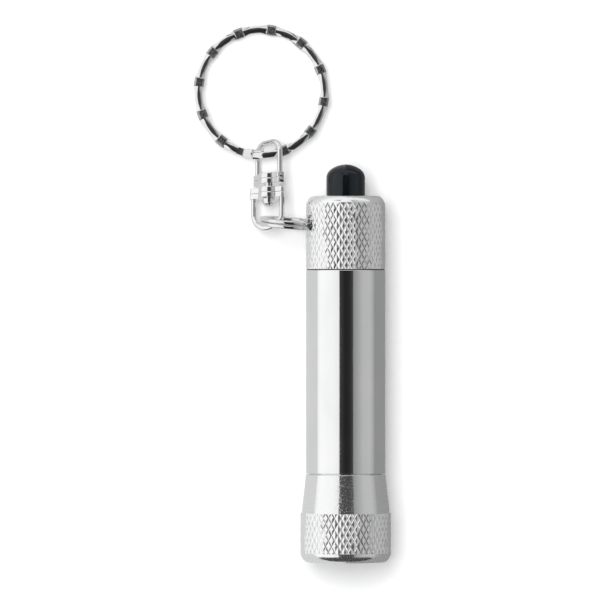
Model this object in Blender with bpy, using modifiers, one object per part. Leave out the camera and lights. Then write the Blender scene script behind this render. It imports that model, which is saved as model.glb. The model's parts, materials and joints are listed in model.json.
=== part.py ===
"""Keychain flashlight with a tail switch, a swivel link and a split key ring.

The torch lies on its side: its axis runs along Y, the push button points to +Y and the lens to -Y.
The origin is under the middle of the whole object, on the surface it lies on, with +Z up.
Dimensions are in millimetres and become metres through MM. A place along the torch is a station,
the distance from the flat front of the head.
"""

import math

import bmesh
import bpy
from mathutils import Matrix, Vector

MM = 0.001

# Torch, outside
HEAD_R = 8.3
HEAD_FACE_R = 7.15
HEAD_ROUND = 1.67
KNURL_END = 8.96
TAPER_START_R = 8.05
BARREL_R = 7.25
HEAD_END = 16.05
CAP_START = 53.45
CAP_END = 67.0
CAP_ROUND = 2.0
CAP_FACE_R = 5.85
SEAM = 0.15
CHAMFER = 0.15
EDGE_BREAK = 0.1
KNURL_STEP = 0.12

# Torch, inside
THREAD_R = 6.35
THREAD_BORE_R = 6.45
BARREL_BORE_R = 5.4
FRONT_NECK = 11.3
TAIL_NECK = 57.0
GROOVE_R = 5.8
GROOVE_HALF = 0.42
O_RING_R = 6.12
O_RING_WIRE_R = 0.22
FRONT_GROOVE = 14.9
TAIL_GROOVE = 54.7
CELL_R = 5.2
CELL_START = 12.7
CELL_END = 56.2
CELL_CRIMP = 0.3
CELL_SHOULDER = 0.4
NUB_R = 1.9
NUB_START = 11.8

# Optics
BEZEL_R = 5.6
BEZEL_DEPTH = 1.2
LENS_FRONT = 0.5
LENS_BACK = 2.4
LENS_R = 6.45
LENS_BOSS_R = 5.5
GASKET_FRONT = 2.5
GASKET_BACK = 3.05
GASKET_BORE_R = 5.9
HEAD_CAVITY_R = 6.6
REFLECTOR_R = 6.4
REFLECTOR_FRONT = 3.2
REFLECTOR_BACK = 8.8
REFLECTOR_MOUTH_R = 5.6
REFLECTOR_NECK_R = 3.4
REFLECTOR_RIM = 1.0
LED_R = 2.45
LED_SPACE = 0.2
LED_DOME_BASE = 7.0
LED_DOME_TALL = 2.2
LED_FLANGE_R = 2.85
BOARD_FRONT = 10.0
BOARD_BACK = 11.0
BOARD_R = 6.2
BOARD_SPACE = 0.2
CONTACT_R = 1.5
CONTACT_TIP_R = 1.2
CONTACT_TALL = 0.55
CONTACT_RIM = 0.3
CHIP_OUT = -3.5
CHIP_SIZE = (1.6, 0.9, 2.8)
COIL_OUT = 3.4
COIL_R = 1.2
COIL_TALL = 1.1

# Switch
BUTTON_R = 3.55
BUTTON_END = 72.8
BUTTON_HOLE_R = 3.68
CAP_BORE_R = 4.25
CAP_LEDGE = 58.4
CAP_ROOF = 65.75
BUTTON_DOME_TALL = 0.94
BUTTON_SHOULDER = 0.8
FLANGE_R = 4.1
FLANGE_BOTTOM = 64.2
FLANGE_TALL = 1.4
SWITCH_BOTTOM = 59.0
SWITCH_WELL_FLOOR = 60.0
SWITCH_WELL_R = 1.75
SWITCH_TOP = 62.3
SWITCH_CONTACT_R = 3.0
SWITCH_CONTACT_THICK = 0.3
PLUNGER_R = 1.6
PLUNGER_BOTTOM = 61.4
RETAINER_BORE_R = 4.4
RETAINER_R = 6.3
RETAINER_START = 57.15
RETAINER_END = 58.3
TAIL_SPRING_START = 56.55
TAIL_SPRING_END = 58.25
TAIL_SPRING_R = 3.6
TAIL_SPRING_TOP_R = 2.4
TAIL_SPRING_WIRE_R = 0.22
BUTTON_SPRING_START = 62.55
BUTTON_SPRING_END = 63.95
BUTTON_SPRING_R = 2.9
BUTTON_SPRING_WIRE_R = 0.17
SPRING_TURNS = 2.5

# Small split ring through the cap
LUG_STATION = 61.75
LUG_OUT = 6.9
SMALL_RING_OUT = 10.55
SMALL_RING_R = 4.8
SMALL_RING_WIDE = 0.95
SMALL_COIL = 0.75
SMALL_PITCH = 0.8
SMALL_JOG_START = 272.0
SMALL_JOG = 30.0
SMALL_RING_TURN = -5.0
SMALL_RING_LEAN = 5.0
LUG_SWING = 12.0
PASSAGE_HALF_TURN = 66.0
PASSAGE_ROWS = 13
PASSAGE_CORNERS = 12
PASSAGE_SLACK = 0.34
PASSAGE_SQUARE = 0.8

# Swivel
WIRE_R = 0.5
SWIVEL_OUT = 14.1
HOOK_GAP = 0.18
EYE_R = 1.98
EYE_THICK = 2.0
STRAP_HALF = 0.8
EYE_HOLE_R = 0.85
SHANK_R = 0.75
SHANK_SPACE = 0.05
RIVET_HEAD_R = 1.25
RIVET_HEAD_TALL = 1.5
RUN_GAP = 0.1
HOOK_ANGLE = 220.5
LOWER_TURN = 28.4
LOWER_LEFT = 3.15
LOWER_RIGHT = 2.75
LOWER_LEFT_CORNER = 2.7
LOWER_RIGHT_CORNER = 1.2
LOWER_SLANT = 33.0
UPPER_TURN = 45.4
UPPER_HALF = 2.9
UPPER_CORNER = 2.0
BLIND_WALL = 0.4
SWIVEL_SLOPE = 10.5
LOWER_EYE = 6.49
UPPER_EYE = 9.07
UPPER_BEND = 15.98
KEY_PLACE = 13.75

# Key ring
KEY_RING_R = 11.6
KEY_RING_WIDE = 1.8
KEY_COIL = 0.85
KEY_PITCH = 0.9
KEY_RING_LEAN = 6.8
KEY_JOG_START = 249.0
KEY_JOG = 26.0

ROUND = 40
SMALL_ROUND = 24
SPRING_STEPS = 14
DOME_STEPS = [math.radians(angle) for angle in range(0, 90, 18)]

# The swivel hangs down from the small ring, and the key ring leans on it with its far edge down.
HOOK_X = -SMALL_RING_OUT + SMALL_RING_R * math.cos(math.radians(HOOK_ANGLE))
HOOK_DROP = -SMALL_RING_R * math.sin(math.radians(HOOK_ANGLE))
HOOK_Z = HEAD_R - HOOK_DROP
RING_TURN = math.radians(SMALL_RING_TURN)
RING_LEAN = math.radians(SMALL_RING_LEAN)
SLOPE = math.radians(SWIVEL_SLOPE)
BEND_BACK = SMALL_PITCH / 2 + SMALL_COIL / 2 + WIRE_R + HOOK_GAP
HOOK_STATION = LUG_STATION + (HOOK_X + LUG_OUT) * math.sin(RING_TURN) + HOOK_DROP * math.sin(RING_LEAN)
BEND_STATION = HOOK_STATION - BEND_BACK * math.cos(SLOPE)
BEND_Z = HOOK_Z + BEND_BACK * math.sin(SLOPE)
KEY_STATION = BEND_STATION + KEY_PLACE * math.cos(SLOPE)
KEY_Z = BEND_Z - KEY_PLACE * math.sin(SLOPE)
KEY_OUTER_R = KEY_RING_R + KEY_RING_WIDE / 2
KEY_HALF_THICK = (KEY_PITCH + KEY_COIL) / 2
KEY_TILT = math.asin((KEY_Z - KEY_HALF_THICK) / (KEY_RING_R + KEY_OUTER_R))
KEY_LEAN = math.radians(KEY_RING_LEAN)
KEY_CENTRE_X = -SWIVEL_OUT - KEY_RING_R * math.sin(KEY_LEAN)
KEY_CENTRE_STATION = KEY_STATION + KEY_RING_R * math.cos(KEY_LEAN) * math.cos(KEY_TILT)

# The torch's axis in world millimetres, so that the origin is under the middle of the object
LENGTH = KEY_CENTRE_STATION + KEY_OUTER_R * math.cos(KEY_TILT) + KEY_HALF_THICK * math.sin(KEY_TILT)
TORCH_X = (KEY_OUTER_R - KEY_CENTRE_X - HEAD_R) / 2
FACE_Y = -LENGTH / 2


def place(x, station, z):
    """World metres of a point given from the torch's axis, by station, and from the floor."""
    return Vector((TORCH_X + x, FACE_Y + station, z)) * MM


def clear_scene():
    for obj in list(bpy.data.objects):
        bpy.data.objects.remove(obj, do_unlink=True)


def collection(name):
    found = bpy.data.collections.new(name)
    bpy.context.scene.collection.children.link(found)
    return found


def material(name, colour, metallic, roughness):
    made = bpy.data.materials.new(name)
    made.use_nodes = True
    shader = made.node_tree.nodes["Principled BSDF"]
    shader.inputs["Base Color"].default_value = (*colour, 1.0)
    shader.inputs["Metallic"].default_value = metallic
    shader.inputs["Roughness"].default_value = roughness
    made.diffuse_color = (*colour, 1.0)
    return made


clear_scene()
PARTS = collection("keychain_flashlight")
CUTTERS = collection("cutters")
CHROME = material("chrome", (0.86, 0.87, 0.88), 1.0, 0.08)
SATIN_ALUMINIUM = material("satin_aluminium", (0.80, 0.81, 0.82), 1.0, 0.25)
BLACK_PLASTIC = material("black_plastic", (0.012, 0.012, 0.013), 0.0, 0.12)
WHITE_PLASTIC = material("white_plastic", (0.80, 0.80, 0.77), 0.0, 0.45)
CLEAR = material("clear_lens", (0.92, 0.95, 0.96), 0.0, 0.03)
MIRROR = material("reflector_mirror", (0.93, 0.93, 0.94), 1.0, 0.03)
LED_EPOXY = material("led_epoxy", (0.95, 0.93, 0.80), 0.0, 0.08)
BOARD_GREEN = material("board_green", (0.03, 0.20, 0.09), 0.0, 0.45)
BRASS = material("brass", (0.78, 0.60, 0.26), 1.0, 0.25)
SPRING_STEEL = material("spring_steel", (0.62, 0.62, 0.62), 1.0, 0.25)
BLACK_RUBBER = material("black_rubber", (0.02, 0.02, 0.02), 0.0, 0.7)
CELL_JACKET = material("cell_jacket", (0.25, 0.27, 0.30), 0.6, 0.35)
CHIP_BLACK = material("chip_black", (0.03, 0.03, 0.03), 0.0, 0.5)
RING_NICKEL = material("ring_nickel", (0.80, 0.80, 0.80), 1.0, 0.12)


def link(obj, paint):
    """Files an object under the parts with its material, or under the cutters without one."""
    if paint is None:
        CUTTERS.objects.link(obj)
        obj.hide_render = True
        obj.display_type = "WIRE"
    else:
        PARTS.objects.link(obj)
        obj.data.materials.append(paint)
    return obj


def smooth(obj):
    """Applies the modifiers and shades the round faces smooth."""
    bpy.context.view_layer.update()
    graph = bpy.context.evaluated_depsgraph_get()
    mesh = bpy.data.meshes.new_from_object(obj.evaluated_get(graph))
    obj.modifiers.clear()
    obj.data = mesh
    mesh.shade_smooth()
    mesh.set_sharp_from_angle(angle=math.radians(35))
    return obj


def arc(station, radius, size, first, last, count=5):
    """Points of a round corner on a turned outline: its centre, its radius and two angles."""
    turns = [math.radians(first + (last - first) * i / (count - 1)) for i in range(count)]
    return [(station + size * math.sin(a), radius + size * math.cos(a)) for a in turns]


def turned(name, outer, inner, paint, steps=ROUND, axis=None):
    """A body turned about the torch's axis, or about another matrix's Z.

    The outer side runs from its highest station to its lowest and the inner one runs back up. A solid
    body has no inner side, and its outer side starts and ends on the axis.
    """
    outline = outer + inner
    mesh = bpy.data.meshes.new(name)
    shape = bmesh.new()
    corners = [shape.verts.new((radius * MM, 0, station * MM)) for station, radius in outline]
    for near, far in zip(corners, corners[1:]):
        shape.edges.new((near, far))
    if inner:
        shape.edges.new((corners[-1], corners[0]))
    shape.to_mesh(mesh)
    shape.free()
    obj = link(bpy.data.objects.new(name, mesh), paint)
    if axis is None:
        axis = Matrix.Translation(place(0, 0, HEAD_R)) @ Matrix.Rotation(-math.pi / 2, 4, "X")
    obj.matrix_world = axis
    screw = obj.modifiers.new("Screw", "SCREW")
    screw.steps = steps
    screw.render_steps = steps
    screw.use_merge_vertices = True
    screw.merge_threshold = 0.00001
    screw.use_smooth_shade = False
    return smooth(obj)


def boolean(obj, other, operation):
    """Joins another mesh to an object or cuts it away, then removes the other."""
    modifier = obj.modifiers.new(operation, "BOOLEAN")
    modifier.operation = operation
    modifier.object = other
    modifier.solver = "EXACT"
    smooth(obj)
    bpy.data.objects.remove(other, do_unlink=True)


def curve_mesh(name, points, frame, paint, bevel_depth=0.0, section=None):
    """A wire along points given in millimetres in a frame, as a mesh with welded caps."""
    data = bpy.data.curves.new(name, "CURVE")
    data.dimensions = "3D"
    data.resolution_u = 1
    data.bevel_resolution = 2
    data.use_fill_caps = True
    spline = data.splines.new("POLY")
    spline.points.add(len(points) - 1)
    for knot, point in zip(spline.points, points):
        knot.co = (*(Vector(point) * MM), 1)
    if section is None:
        data.bevel_depth = bevel_depth * MM
    else:
        data.bevel_mode = "OBJECT"
        data.bevel_object = section
        data.twist_mode = "Z_UP"
    guide = bpy.data.objects.new(name + "_guide", data)
    CUTTERS.objects.link(guide)
    bpy.context.view_layer.update()
    graph = bpy.context.evaluated_depsgraph_get()
    mesh = bpy.data.meshes.new_from_object(guide.evaluated_get(graph))
    mesh.name = name
    bpy.data.objects.remove(guide, do_unlink=True)
    shape = bmesh.new()
    shape.from_mesh(mesh)
    bmesh.ops.remove_doubles(shape, verts=shape.verts, dist=0.000001)
    bmesh.ops.recalc_face_normals(shape, faces=shape.faces)
    shape.to_mesh(mesh)
    shape.free()
    mesh.materials.clear()
    obj = link(bpy.data.objects.new(name, mesh), paint)
    obj.matrix_world = frame
    return smooth(obj)


def rectangle_section(name, wide, tall):
    """A flat rectangular wire section for a curve to follow."""
    data = bpy.data.curves.new(name, "CURVE")
    data.dimensions = "2D"
    spline = data.splines.new("POLY")
    spline.points.add(3)
    half_wide = wide / 2 * MM
    half_tall = tall / 2 * MM
    corners = [
        (-half_wide, -half_tall), (half_wide, -half_tall), (half_wide, half_tall), (-half_wide, half_tall),
    ]
    for knot, corner in zip(spline.points, corners):
        knot.co = (*corner, 0, 1)
    spline.use_cyclic_u = True
    obj = bpy.data.objects.new(name, data)
    CUTTERS.objects.link(obj)
    obj.hide_render = True
    return obj


def ease(value):
    value = min(max(value, 0.0), 1.0)
    return value * value * (3 - 2 * value)


def split_ring(name, radius, wide, coil, pitch, jog_start, jog, frame, paint, step=7.5):
    """Two flat turns of rectangular wire with one step up between them, in the frame's XY plane."""
    first = jog_start + jog + 1.0
    last = jog_start + 720.0 - 1.0
    climb = jog_start + 360.0
    count = round((last - first) / step)
    points = []
    for i in range(count + 1):
        turn = first + (last - first) * i / count
        height = pitch * (ease((turn - climb) / jog) - 0.5)
        angle = math.radians(turn)
        points.append((radius * math.cos(angle), radius * math.sin(angle), height))
    section = rectangle_section(name + "_section", wide, coil)
    ring = curve_mesh(name, points, frame, paint, section=section)
    bpy.data.objects.remove(section, do_unlink=True)
    return ring


# Torch body


def make_head_shell():
    """The knurled head with its tapered skirt, bezel lip and internal thread."""
    edge = [math.radians(angle) for angle in range(0, 91, 18)]
    outer = [
        (HEAD_END, THREAD_BORE_R),
        (HEAD_END, BARREL_R),
        (KNURL_END, TAPER_START_R),
        (KNURL_END - KNURL_STEP, HEAD_R),
        *[
            (HEAD_ROUND * (1 - math.sin(a)), HEAD_FACE_R + (HEAD_R - HEAD_FACE_R) * math.cos(a))
            for a in edge
        ],
    ]
    inner = [
        (0.0, BEZEL_R + CHAMFER),
        (CHAMFER, BEZEL_R),
        (BEZEL_DEPTH, BEZEL_R),
        (BEZEL_DEPTH, HEAD_CAVITY_R),
        (BOARD_BACK + BOARD_SPACE, HEAD_CAVITY_R),
        (BOARD_BACK + BOARD_SPACE, THREAD_BORE_R),
    ]
    turned("head_shell", outer, inner, SATIN_ALUMINIUM)


def seal_groove(station):
    """The outline of a sealing groove in a neck, from its high side to its low one."""
    return [
        (station + GROOVE_HALF, THREAD_R),
        (station + GROOVE_HALF, GROOVE_R),
        (station - GROOVE_HALF, GROOVE_R),
        (station - GROOVE_HALF, THREAD_R),
    ]


def make_barrel_tube():
    """The polished tube with a threaded neck and a sealing groove at each end."""
    outer = [
        (TAIL_NECK, BARREL_BORE_R),
        (TAIL_NECK, THREAD_R),
        *seal_groove(TAIL_GROOVE),
        (CAP_START, THREAD_R),
        (CAP_START, BARREL_R - EDGE_BREAK),
        (CAP_START - EDGE_BREAK, BARREL_R),
        (HEAD_END + SEAM + EDGE_BREAK, BARREL_R),
        (HEAD_END + SEAM, BARREL_R - EDGE_BREAK),
        (HEAD_END + SEAM, THREAD_R),
        *seal_groove(FRONT_GROOVE),
        (FRONT_NECK, THREAD_R),
    ]
    turned("barrel_tube", outer, [(FRONT_NECK, BARREL_BORE_R)], CHROME)


def passage_cutter():
    """A bent slot that follows the small ring through the cap and widens with its swing."""
    swing = math.radians(LUG_SWING)
    half_wire = SMALL_RING_WIDE / 2
    half_stack = (SMALL_PITCH + SMALL_COIL) / 2
    shape = bmesh.new()
    rows = []
    for i in range(PASSAGE_ROWS):
        angle = math.radians(PASSAGE_HALF_TURN * (2 * i / (PASSAGE_ROWS - 1) - 1))
        out = -SMALL_RING_OUT + SMALL_RING_R * math.cos(angle)
        reach = abs(out + LUG_OUT) + half_wire
        across = half_stack * math.cos(swing) + reach * math.sin(swing) + PASSAGE_SLACK
        row = []
        for corner in range(PASSAGE_CORNERS):
            turn = 2 * math.pi * corner / PASSAGE_CORNERS
            bulge = max(abs(math.cos(turn)), abs(math.sin(turn))) ** PASSAGE_SQUARE
            radial = SMALL_RING_R + (half_wire + PASSAGE_SLACK) * math.cos(turn) / bulge
            point = Vector((
                -SMALL_RING_OUT + radial * math.cos(angle),
                across * math.sin(turn) / bulge,
                radial * math.sin(angle),
            ))
            row.append(shape.verts.new(point * MM))
        rows.append(row)
    for low, high in zip(rows, rows[1:]):
        for i in range(PASSAGE_CORNERS):
            j = (i + 1) % PASSAGE_CORNERS
            shape.faces.new((low[i], low[j], high[j], high[i]))
    shape.faces.new(rows[0])
    shape.faces.new(rows[-1])
    bmesh.ops.recalc_face_normals(shape, faces=shape.faces)
    mesh = bpy.data.meshes.new("ring_passage")
    shape.to_mesh(mesh)
    shape.free()
    obj = link(bpy.data.objects.new("ring_passage", mesh), None)
    obj.matrix_world = Matrix.Translation(place(0, LUG_STATION, HEAD_R)) @ Matrix.Rotation(RING_LEAN, 4, "X")
    return obj


def make_tail_cap():
    """The knurled cap: button hole, switch bore, internal thread and the passage for the small ring."""
    outer = [
        (CAP_END, BUTTON_HOLE_R + CHAMFER),
        *[
            (CAP_END - CAP_ROUND * (1 - math.sin(a)), CAP_FACE_R + (BARREL_R - CAP_FACE_R) * math.cos(a))
            for a in (math.radians(angle) for angle in range(90, -1, -18))
        ],
        (CAP_START + SEAM, BARREL_R),
    ]
    inner = [
        (CAP_START + SEAM, THREAD_BORE_R),
        (CAP_LEDGE, THREAD_BORE_R),
        (CAP_LEDGE, CAP_BORE_R),
        (CAP_ROOF, CAP_BORE_R),
        (CAP_ROOF, BUTTON_HOLE_R),
        (CAP_END - CHAMFER, BUTTON_HOLE_R),
    ]
    cap = turned("tail_cap", outer, inner, SATIN_ALUMINIUM)
    boolean(cap, passage_cutter(), "DIFFERENCE")


def make_o_rings():
    """Two rubber seals, one in the groove of each neck."""
    for name, station in (("head_o_ring", FRONT_GROOVE), ("tail_o_ring", TAIL_GROOVE)):
        bpy.ops.mesh.primitive_torus_add(
            major_radius=O_RING_R * MM,
            minor_radius=O_RING_WIRE_R * MM,
            major_segments=SMALL_ROUND,
            minor_segments=8,
            location=place(0, station, HEAD_R),
            rotation=(math.pi / 2, 0, 0),
        )
        ring = bpy.context.active_object
        ring.name = name
        ring.users_collection[0].objects.unlink(ring)
        link(ring, BLACK_RUBBER)
        smooth(ring)


# Optics and electronics


def make_lens_window():
    """A clear stepped disc whose boss stands in the bezel."""
    outer = [
        (LENS_BACK, 0.0),
        (LENS_BACK, LENS_R),
        (BEZEL_DEPTH + RUN_GAP, LENS_R),
        (BEZEL_DEPTH + RUN_GAP, LENS_BOSS_R),
        (LENS_FRONT, LENS_BOSS_R),
        (LENS_FRONT, 0.0),
    ]
    turned("lens_window", outer, [], CLEAR, SMALL_ROUND)


def make_lens_gasket():
    """A flat rubber ring between the lens and the reflector."""
    outer = [(GASKET_BACK, GASKET_BORE_R), (GASKET_BACK, LENS_R), (GASKET_FRONT, LENS_R)]
    turned("lens_gasket", outer, [(GASKET_FRONT, GASKET_BORE_R)], BLACK_RUBBER, SMALL_ROUND)


def make_reflector():
    """A mirrored cup: a parabola from the mouth down to the hole for the LED."""
    hole_r = LED_R + LED_SPACE
    depth = REFLECTOR_BACK - REFLECTOR_RIM - REFLECTOR_FRONT
    inner = []
    for i in range(7):
        radius = REFLECTOR_MOUTH_R + (hole_r - REFLECTOR_MOUTH_R) * i / 6
        fall = (REFLECTOR_MOUTH_R**2 - radius**2) / (REFLECTOR_MOUTH_R**2 - hole_r**2)
        inner.append((REFLECTOR_FRONT + depth * fall, radius))
    inner.append((REFLECTOR_BACK, hole_r))
    outer = [
        (REFLECTOR_BACK, REFLECTOR_NECK_R),
        (REFLECTOR_FRONT + REFLECTOR_RIM, REFLECTOR_R),
        (REFLECTOR_FRONT, REFLECTOR_R),
    ]
    turned("reflector", outer, inner, MIRROR, SMALL_ROUND)


def make_led():
    """A round white LED with a flange and a domed front."""
    flange_back = BOARD_FRONT - RUN_GAP
    flange_front = REFLECTOR_BACK + LED_SPACE
    dome = [
        (LED_DOME_BASE - LED_DOME_TALL * math.sin(a), LED_R * math.cos(a))
        for a in DOME_STEPS
    ]
    outer = [
        (flange_back, 0.0),
        (flange_back, LED_FLANGE_R),
        (flange_front, LED_FLANGE_R),
        (flange_front, LED_R),
        *dome,
        (LED_DOME_BASE - LED_DOME_TALL, 0.0),
    ]
    turned("led", outer, [], LED_EPOXY, SMALL_ROUND)


def make_led_board():
    """The round circuit board behind the LED."""
    outer = [(BOARD_BACK, 0.0), (BOARD_BACK, BOARD_R), (BOARD_FRONT, BOARD_R), (BOARD_FRONT, 0.0)]
    turned("led_board", outer, [], BOARD_GREEN, SMALL_ROUND)


def make_driver_parts():
    """The step-up driver behind the board: a chip, a coil and the contact that the cell touches."""
    back = BOARD_BACK + RUN_GAP
    contact = [
        (back + CONTACT_TALL, 0.0),
        (back + CONTACT_TALL, CONTACT_TIP_R),
        (back + CONTACT_RIM, CONTACT_R),
        (back, CONTACT_R),
        (back, 0.0),
    ]
    turned("led_contact", contact, [], BRASS, SMALL_ROUND)
    bpy.ops.mesh.primitive_cube_add(size=1, location=place(CHIP_OUT, back + CHIP_SIZE[1] / 2, HEAD_R))
    chip = bpy.context.active_object
    chip.name = "driver_chip"
    chip.scale = Vector(CHIP_SIZE) * MM
    bpy.ops.object.transform_apply(location=False, rotation=False, scale=True)
    bpy.ops.mesh.primitive_cylinder_add(
        vertices=SMALL_ROUND,
        radius=COIL_R * MM,
        depth=COIL_TALL * MM,
        location=place(COIL_OUT, back + COIL_TALL / 2, HEAD_R),
        rotation=(math.pi / 2, 0, 0),
    )
    coil = bpy.context.active_object
    coil.name = "driver_inductor"
    for part in (chip, coil):
        part.users_collection[0].objects.unlink(part)
        link(part, CHIP_BLACK)
        smooth(part)


def make_cell():
    """One AAA cell with its nub to the front."""
    outer = [
        (CELL_END, 0.0),
        (CELL_END, CELL_R - CELL_CRIMP),
        (CELL_END - CELL_CRIMP, CELL_R),
        (CELL_START + CELL_SHOULDER, CELL_R),
        (CELL_START, CELL_R - CELL_SHOULDER),
        (CELL_START, NUB_R),
        (NUB_START, NUB_R),
        (NUB_START, 0.0),
    ]
    turned("aaa_cell", outer, [], CELL_JACKET, SMALL_ROUND)


# Tail switch


def coil_spring(name, first, last, radius, end_radius, wire_r):
    """A round wire spring wound about the torch's axis between two stations."""
    count = round(SPRING_TURNS * SPRING_STEPS)
    points = []
    for i in range(count + 1):
        share = i / count
        angle = 2 * math.pi * SPRING_TURNS * share
        wide = radius + (end_radius - radius) * share
        points.append((wide * math.cos(angle), first + (last - first) * share, wide * math.sin(angle)))
    frame = Matrix.Translation(place(0, 0, HEAD_R))
    curve_mesh(name, points, frame, SPRING_STEEL, bevel_depth=wire_r)


def make_switch():
    """The click switch in the cap, its contacts, springs and clamp ring, and the button."""
    body = [
        (SWITCH_WELL_FLOOR, 0.0),
        (SWITCH_WELL_FLOOR, SWITCH_WELL_R),
        (SWITCH_TOP, SWITCH_WELL_R),
        (SWITCH_TOP, FLANGE_R),
        (SWITCH_BOTTOM, FLANGE_R),
        (SWITCH_BOTTOM, 0.0),
    ]
    turned("switch_body", body, [], WHITE_PLASTIC, SMALL_ROUND)
    contact_top = SWITCH_BOTTOM - RUN_GAP
    contact_bottom = contact_top - SWITCH_CONTACT_THICK
    contact = [
        (contact_top, 0.0),
        (contact_top, SWITCH_CONTACT_R),
        (contact_bottom, SWITCH_CONTACT_R),
        (contact_bottom, 0.0),
    ]
    turned("switch_contact", contact, [], BRASS, SMALL_ROUND)
    plunger_top = FLANGE_BOTTOM - RUN_GAP
    plunger = [
        (plunger_top, 0.0),
        (plunger_top, PLUNGER_R),
        (PLUNGER_BOTTOM, PLUNGER_R),
        (PLUNGER_BOTTOM, 0.0),
    ]
    turned("switch_plunger", plunger, [], WHITE_PLASTIC, SMALL_ROUND)
    clamp = [
        (RETAINER_END, RETAINER_BORE_R),
        (RETAINER_END, RETAINER_R),
        (RETAINER_START, RETAINER_R),
    ]
    turned("switch_retainer", clamp, [(RETAINER_START, RETAINER_BORE_R)], BRASS, SMALL_ROUND)
    coil_spring(
        "tail_spring", TAIL_SPRING_START, TAIL_SPRING_END, TAIL_SPRING_R, TAIL_SPRING_TOP_R,
        TAIL_SPRING_WIRE_R,
    )
    coil_spring(
        "button_spring", BUTTON_SPRING_START, BUTTON_SPRING_END, BUTTON_SPRING_R, BUTTON_SPRING_R,
        BUTTON_SPRING_WIRE_R,
    )


def make_push_button():
    """The domed button, with a flange that holds it in the cap."""
    dome_base = BUTTON_END - BUTTON_DOME_TALL
    dome_r = BUTTON_R - BUTTON_SHOULDER
    crown = [
        (dome_base + BUTTON_DOME_TALL * math.cos(a), dome_r * math.sin(a))
        for a in (math.radians(angle) for angle in range(15, 90, 15))
    ]
    button = [
        (BUTTON_END, 0.0),
        *crown,
        *arc(dome_base - BUTTON_SHOULDER, dome_r, BUTTON_SHOULDER, 90, 0, 4),
        (FLANGE_BOTTOM + FLANGE_TALL, BUTTON_R),
        (FLANGE_BOTTOM + FLANGE_TALL, FLANGE_R),
        (FLANGE_BOTTOM, FLANGE_R),
        (FLANGE_BOTTOM, 0.0),
    ]
    turned("push_button", button, [], BLACK_PLASTIC, SMALL_ROUND)


# Small ring, swivel and key ring


def make_small_ring():
    """The small split ring: it stands across the torch's axis, a little turned and leaning."""
    hinge = Matrix.Translation(place(-LUG_OUT, LUG_STATION, HEAD_R)) @ Matrix.Rotation(RING_TURN, 4, "Z")
    centre = Matrix.Translation(Vector((LUG_OUT - SMALL_RING_OUT, 0, 0)) * MM)
    frame = hinge @ centre @ Matrix.Rotation(math.pi / 2 + RING_LEAN, 4, "X")
    split_ring(
        "small_split_ring", SMALL_RING_R, SMALL_RING_WIDE, SMALL_COIL, SMALL_PITCH,
        SMALL_JOG_START, SMALL_JOG, frame, RING_NICKEL,
    )


def swivel_frame(turn):
    """At the lower loop's bend: Z runs along the swivel, and X from the low leg to the high one."""
    along = Vector((0, math.cos(SLOPE), -math.sin(SLOPE)))
    level = Vector((1, 0, 0))
    up = level.cross(along)
    angle = math.radians(turn)
    across = level * math.cos(angle) + up * math.sin(angle)
    third = along.cross(across)
    frame = Matrix((across, third, along)).transposed().to_4x4()
    return Matrix.Translation(place(-SWIVEL_OUT, BEND_STATION, BEND_Z)) @ frame


def bend(across, along, size, first, last, count=6):
    """Points of a round bend in the wire: its centre, its radius and two angles."""
    turns = [math.radians(first + (last - first) * i / (count - 1)) for i in range(count)]
    return [(across + size * math.cos(a), along + size * math.sin(a)) for a in turns]


def strap_block(name, left, right, bottom, frame):
    """The two lapped straps at a bail's open end: a bar from leg to leg, round about the rivet."""
    spread = math.degrees(math.asin(STRAP_HALF / EYE_R))
    outline = [
        *bend(0, 0, EYE_R, spread, 180 - spread, 11),
        (-left - WIRE_R, STRAP_HALF),
        (-left - WIRE_R, -STRAP_HALF),
        *bend(0, 0, EYE_R, 180 + spread, 360 - spread, 11),
        (right + WIRE_R, -STRAP_HALF),
        (right + WIRE_R, STRAP_HALF),
    ]
    shape = bmesh.new()
    rims = [
        [shape.verts.new(Vector((across, depth, along)) * MM) for across, depth in outline]
        for along in (bottom, bottom + EYE_THICK)
    ]
    for i, low in enumerate(rims[0]):
        shape.faces.new((rims[0][i - 1], low, rims[1][i], rims[1][i - 1]))
    for rim in rims:
        shape.faces.new(rim)
    bmesh.ops.recalc_face_normals(shape, faces=shape.faces)
    mesh = bpy.data.meshes.new(name)
    shape.to_mesh(mesh)
    shape.free()
    block = link(bpy.data.objects.new(name, mesh), None)
    block.matrix_world = frame
    return block


def cut_bore(loop, low, high, radius, frame):
    """Drills a bail's eyes for the rivet."""
    bore = turned(
        "eye_bore", [(high, 0.0), (high, radius), (low, radius), (low, 0.0)], [], None, SMALL_ROUND, frame
    )
    boolean(loop, bore, "DIFFERENCE")


def lower_path():
    """The lower bail's wire: down the high leg, along a slanting bottom and up the low leg."""
    slant = math.radians(LOWER_SLANT)
    left_centre = LOWER_LEFT_CORNER - LOWER_LEFT
    right_centre = LOWER_RIGHT - LOWER_RIGHT_CORNER
    step = right_centre - left_centre - (LOWER_LEFT_CORNER - LOWER_RIGHT_CORNER) * math.sin(slant)
    fall = (LOWER_LEFT_CORNER - LOWER_RIGHT_CORNER) * math.cos(slant)
    right_up = LOWER_LEFT_CORNER - fall + step * math.tan(slant)
    return [
        (LOWER_RIGHT, LOWER_EYE),
        *bend(right_centre, right_up, LOWER_RIGHT_CORNER, 0, LOWER_SLANT - 90, 5),
        *bend(left_centre, LOWER_LEFT_CORNER, LOWER_LEFT_CORNER, LOWER_SLANT - 90, -180, 9),
        (-LOWER_LEFT, LOWER_EYE),
    ]


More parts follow.
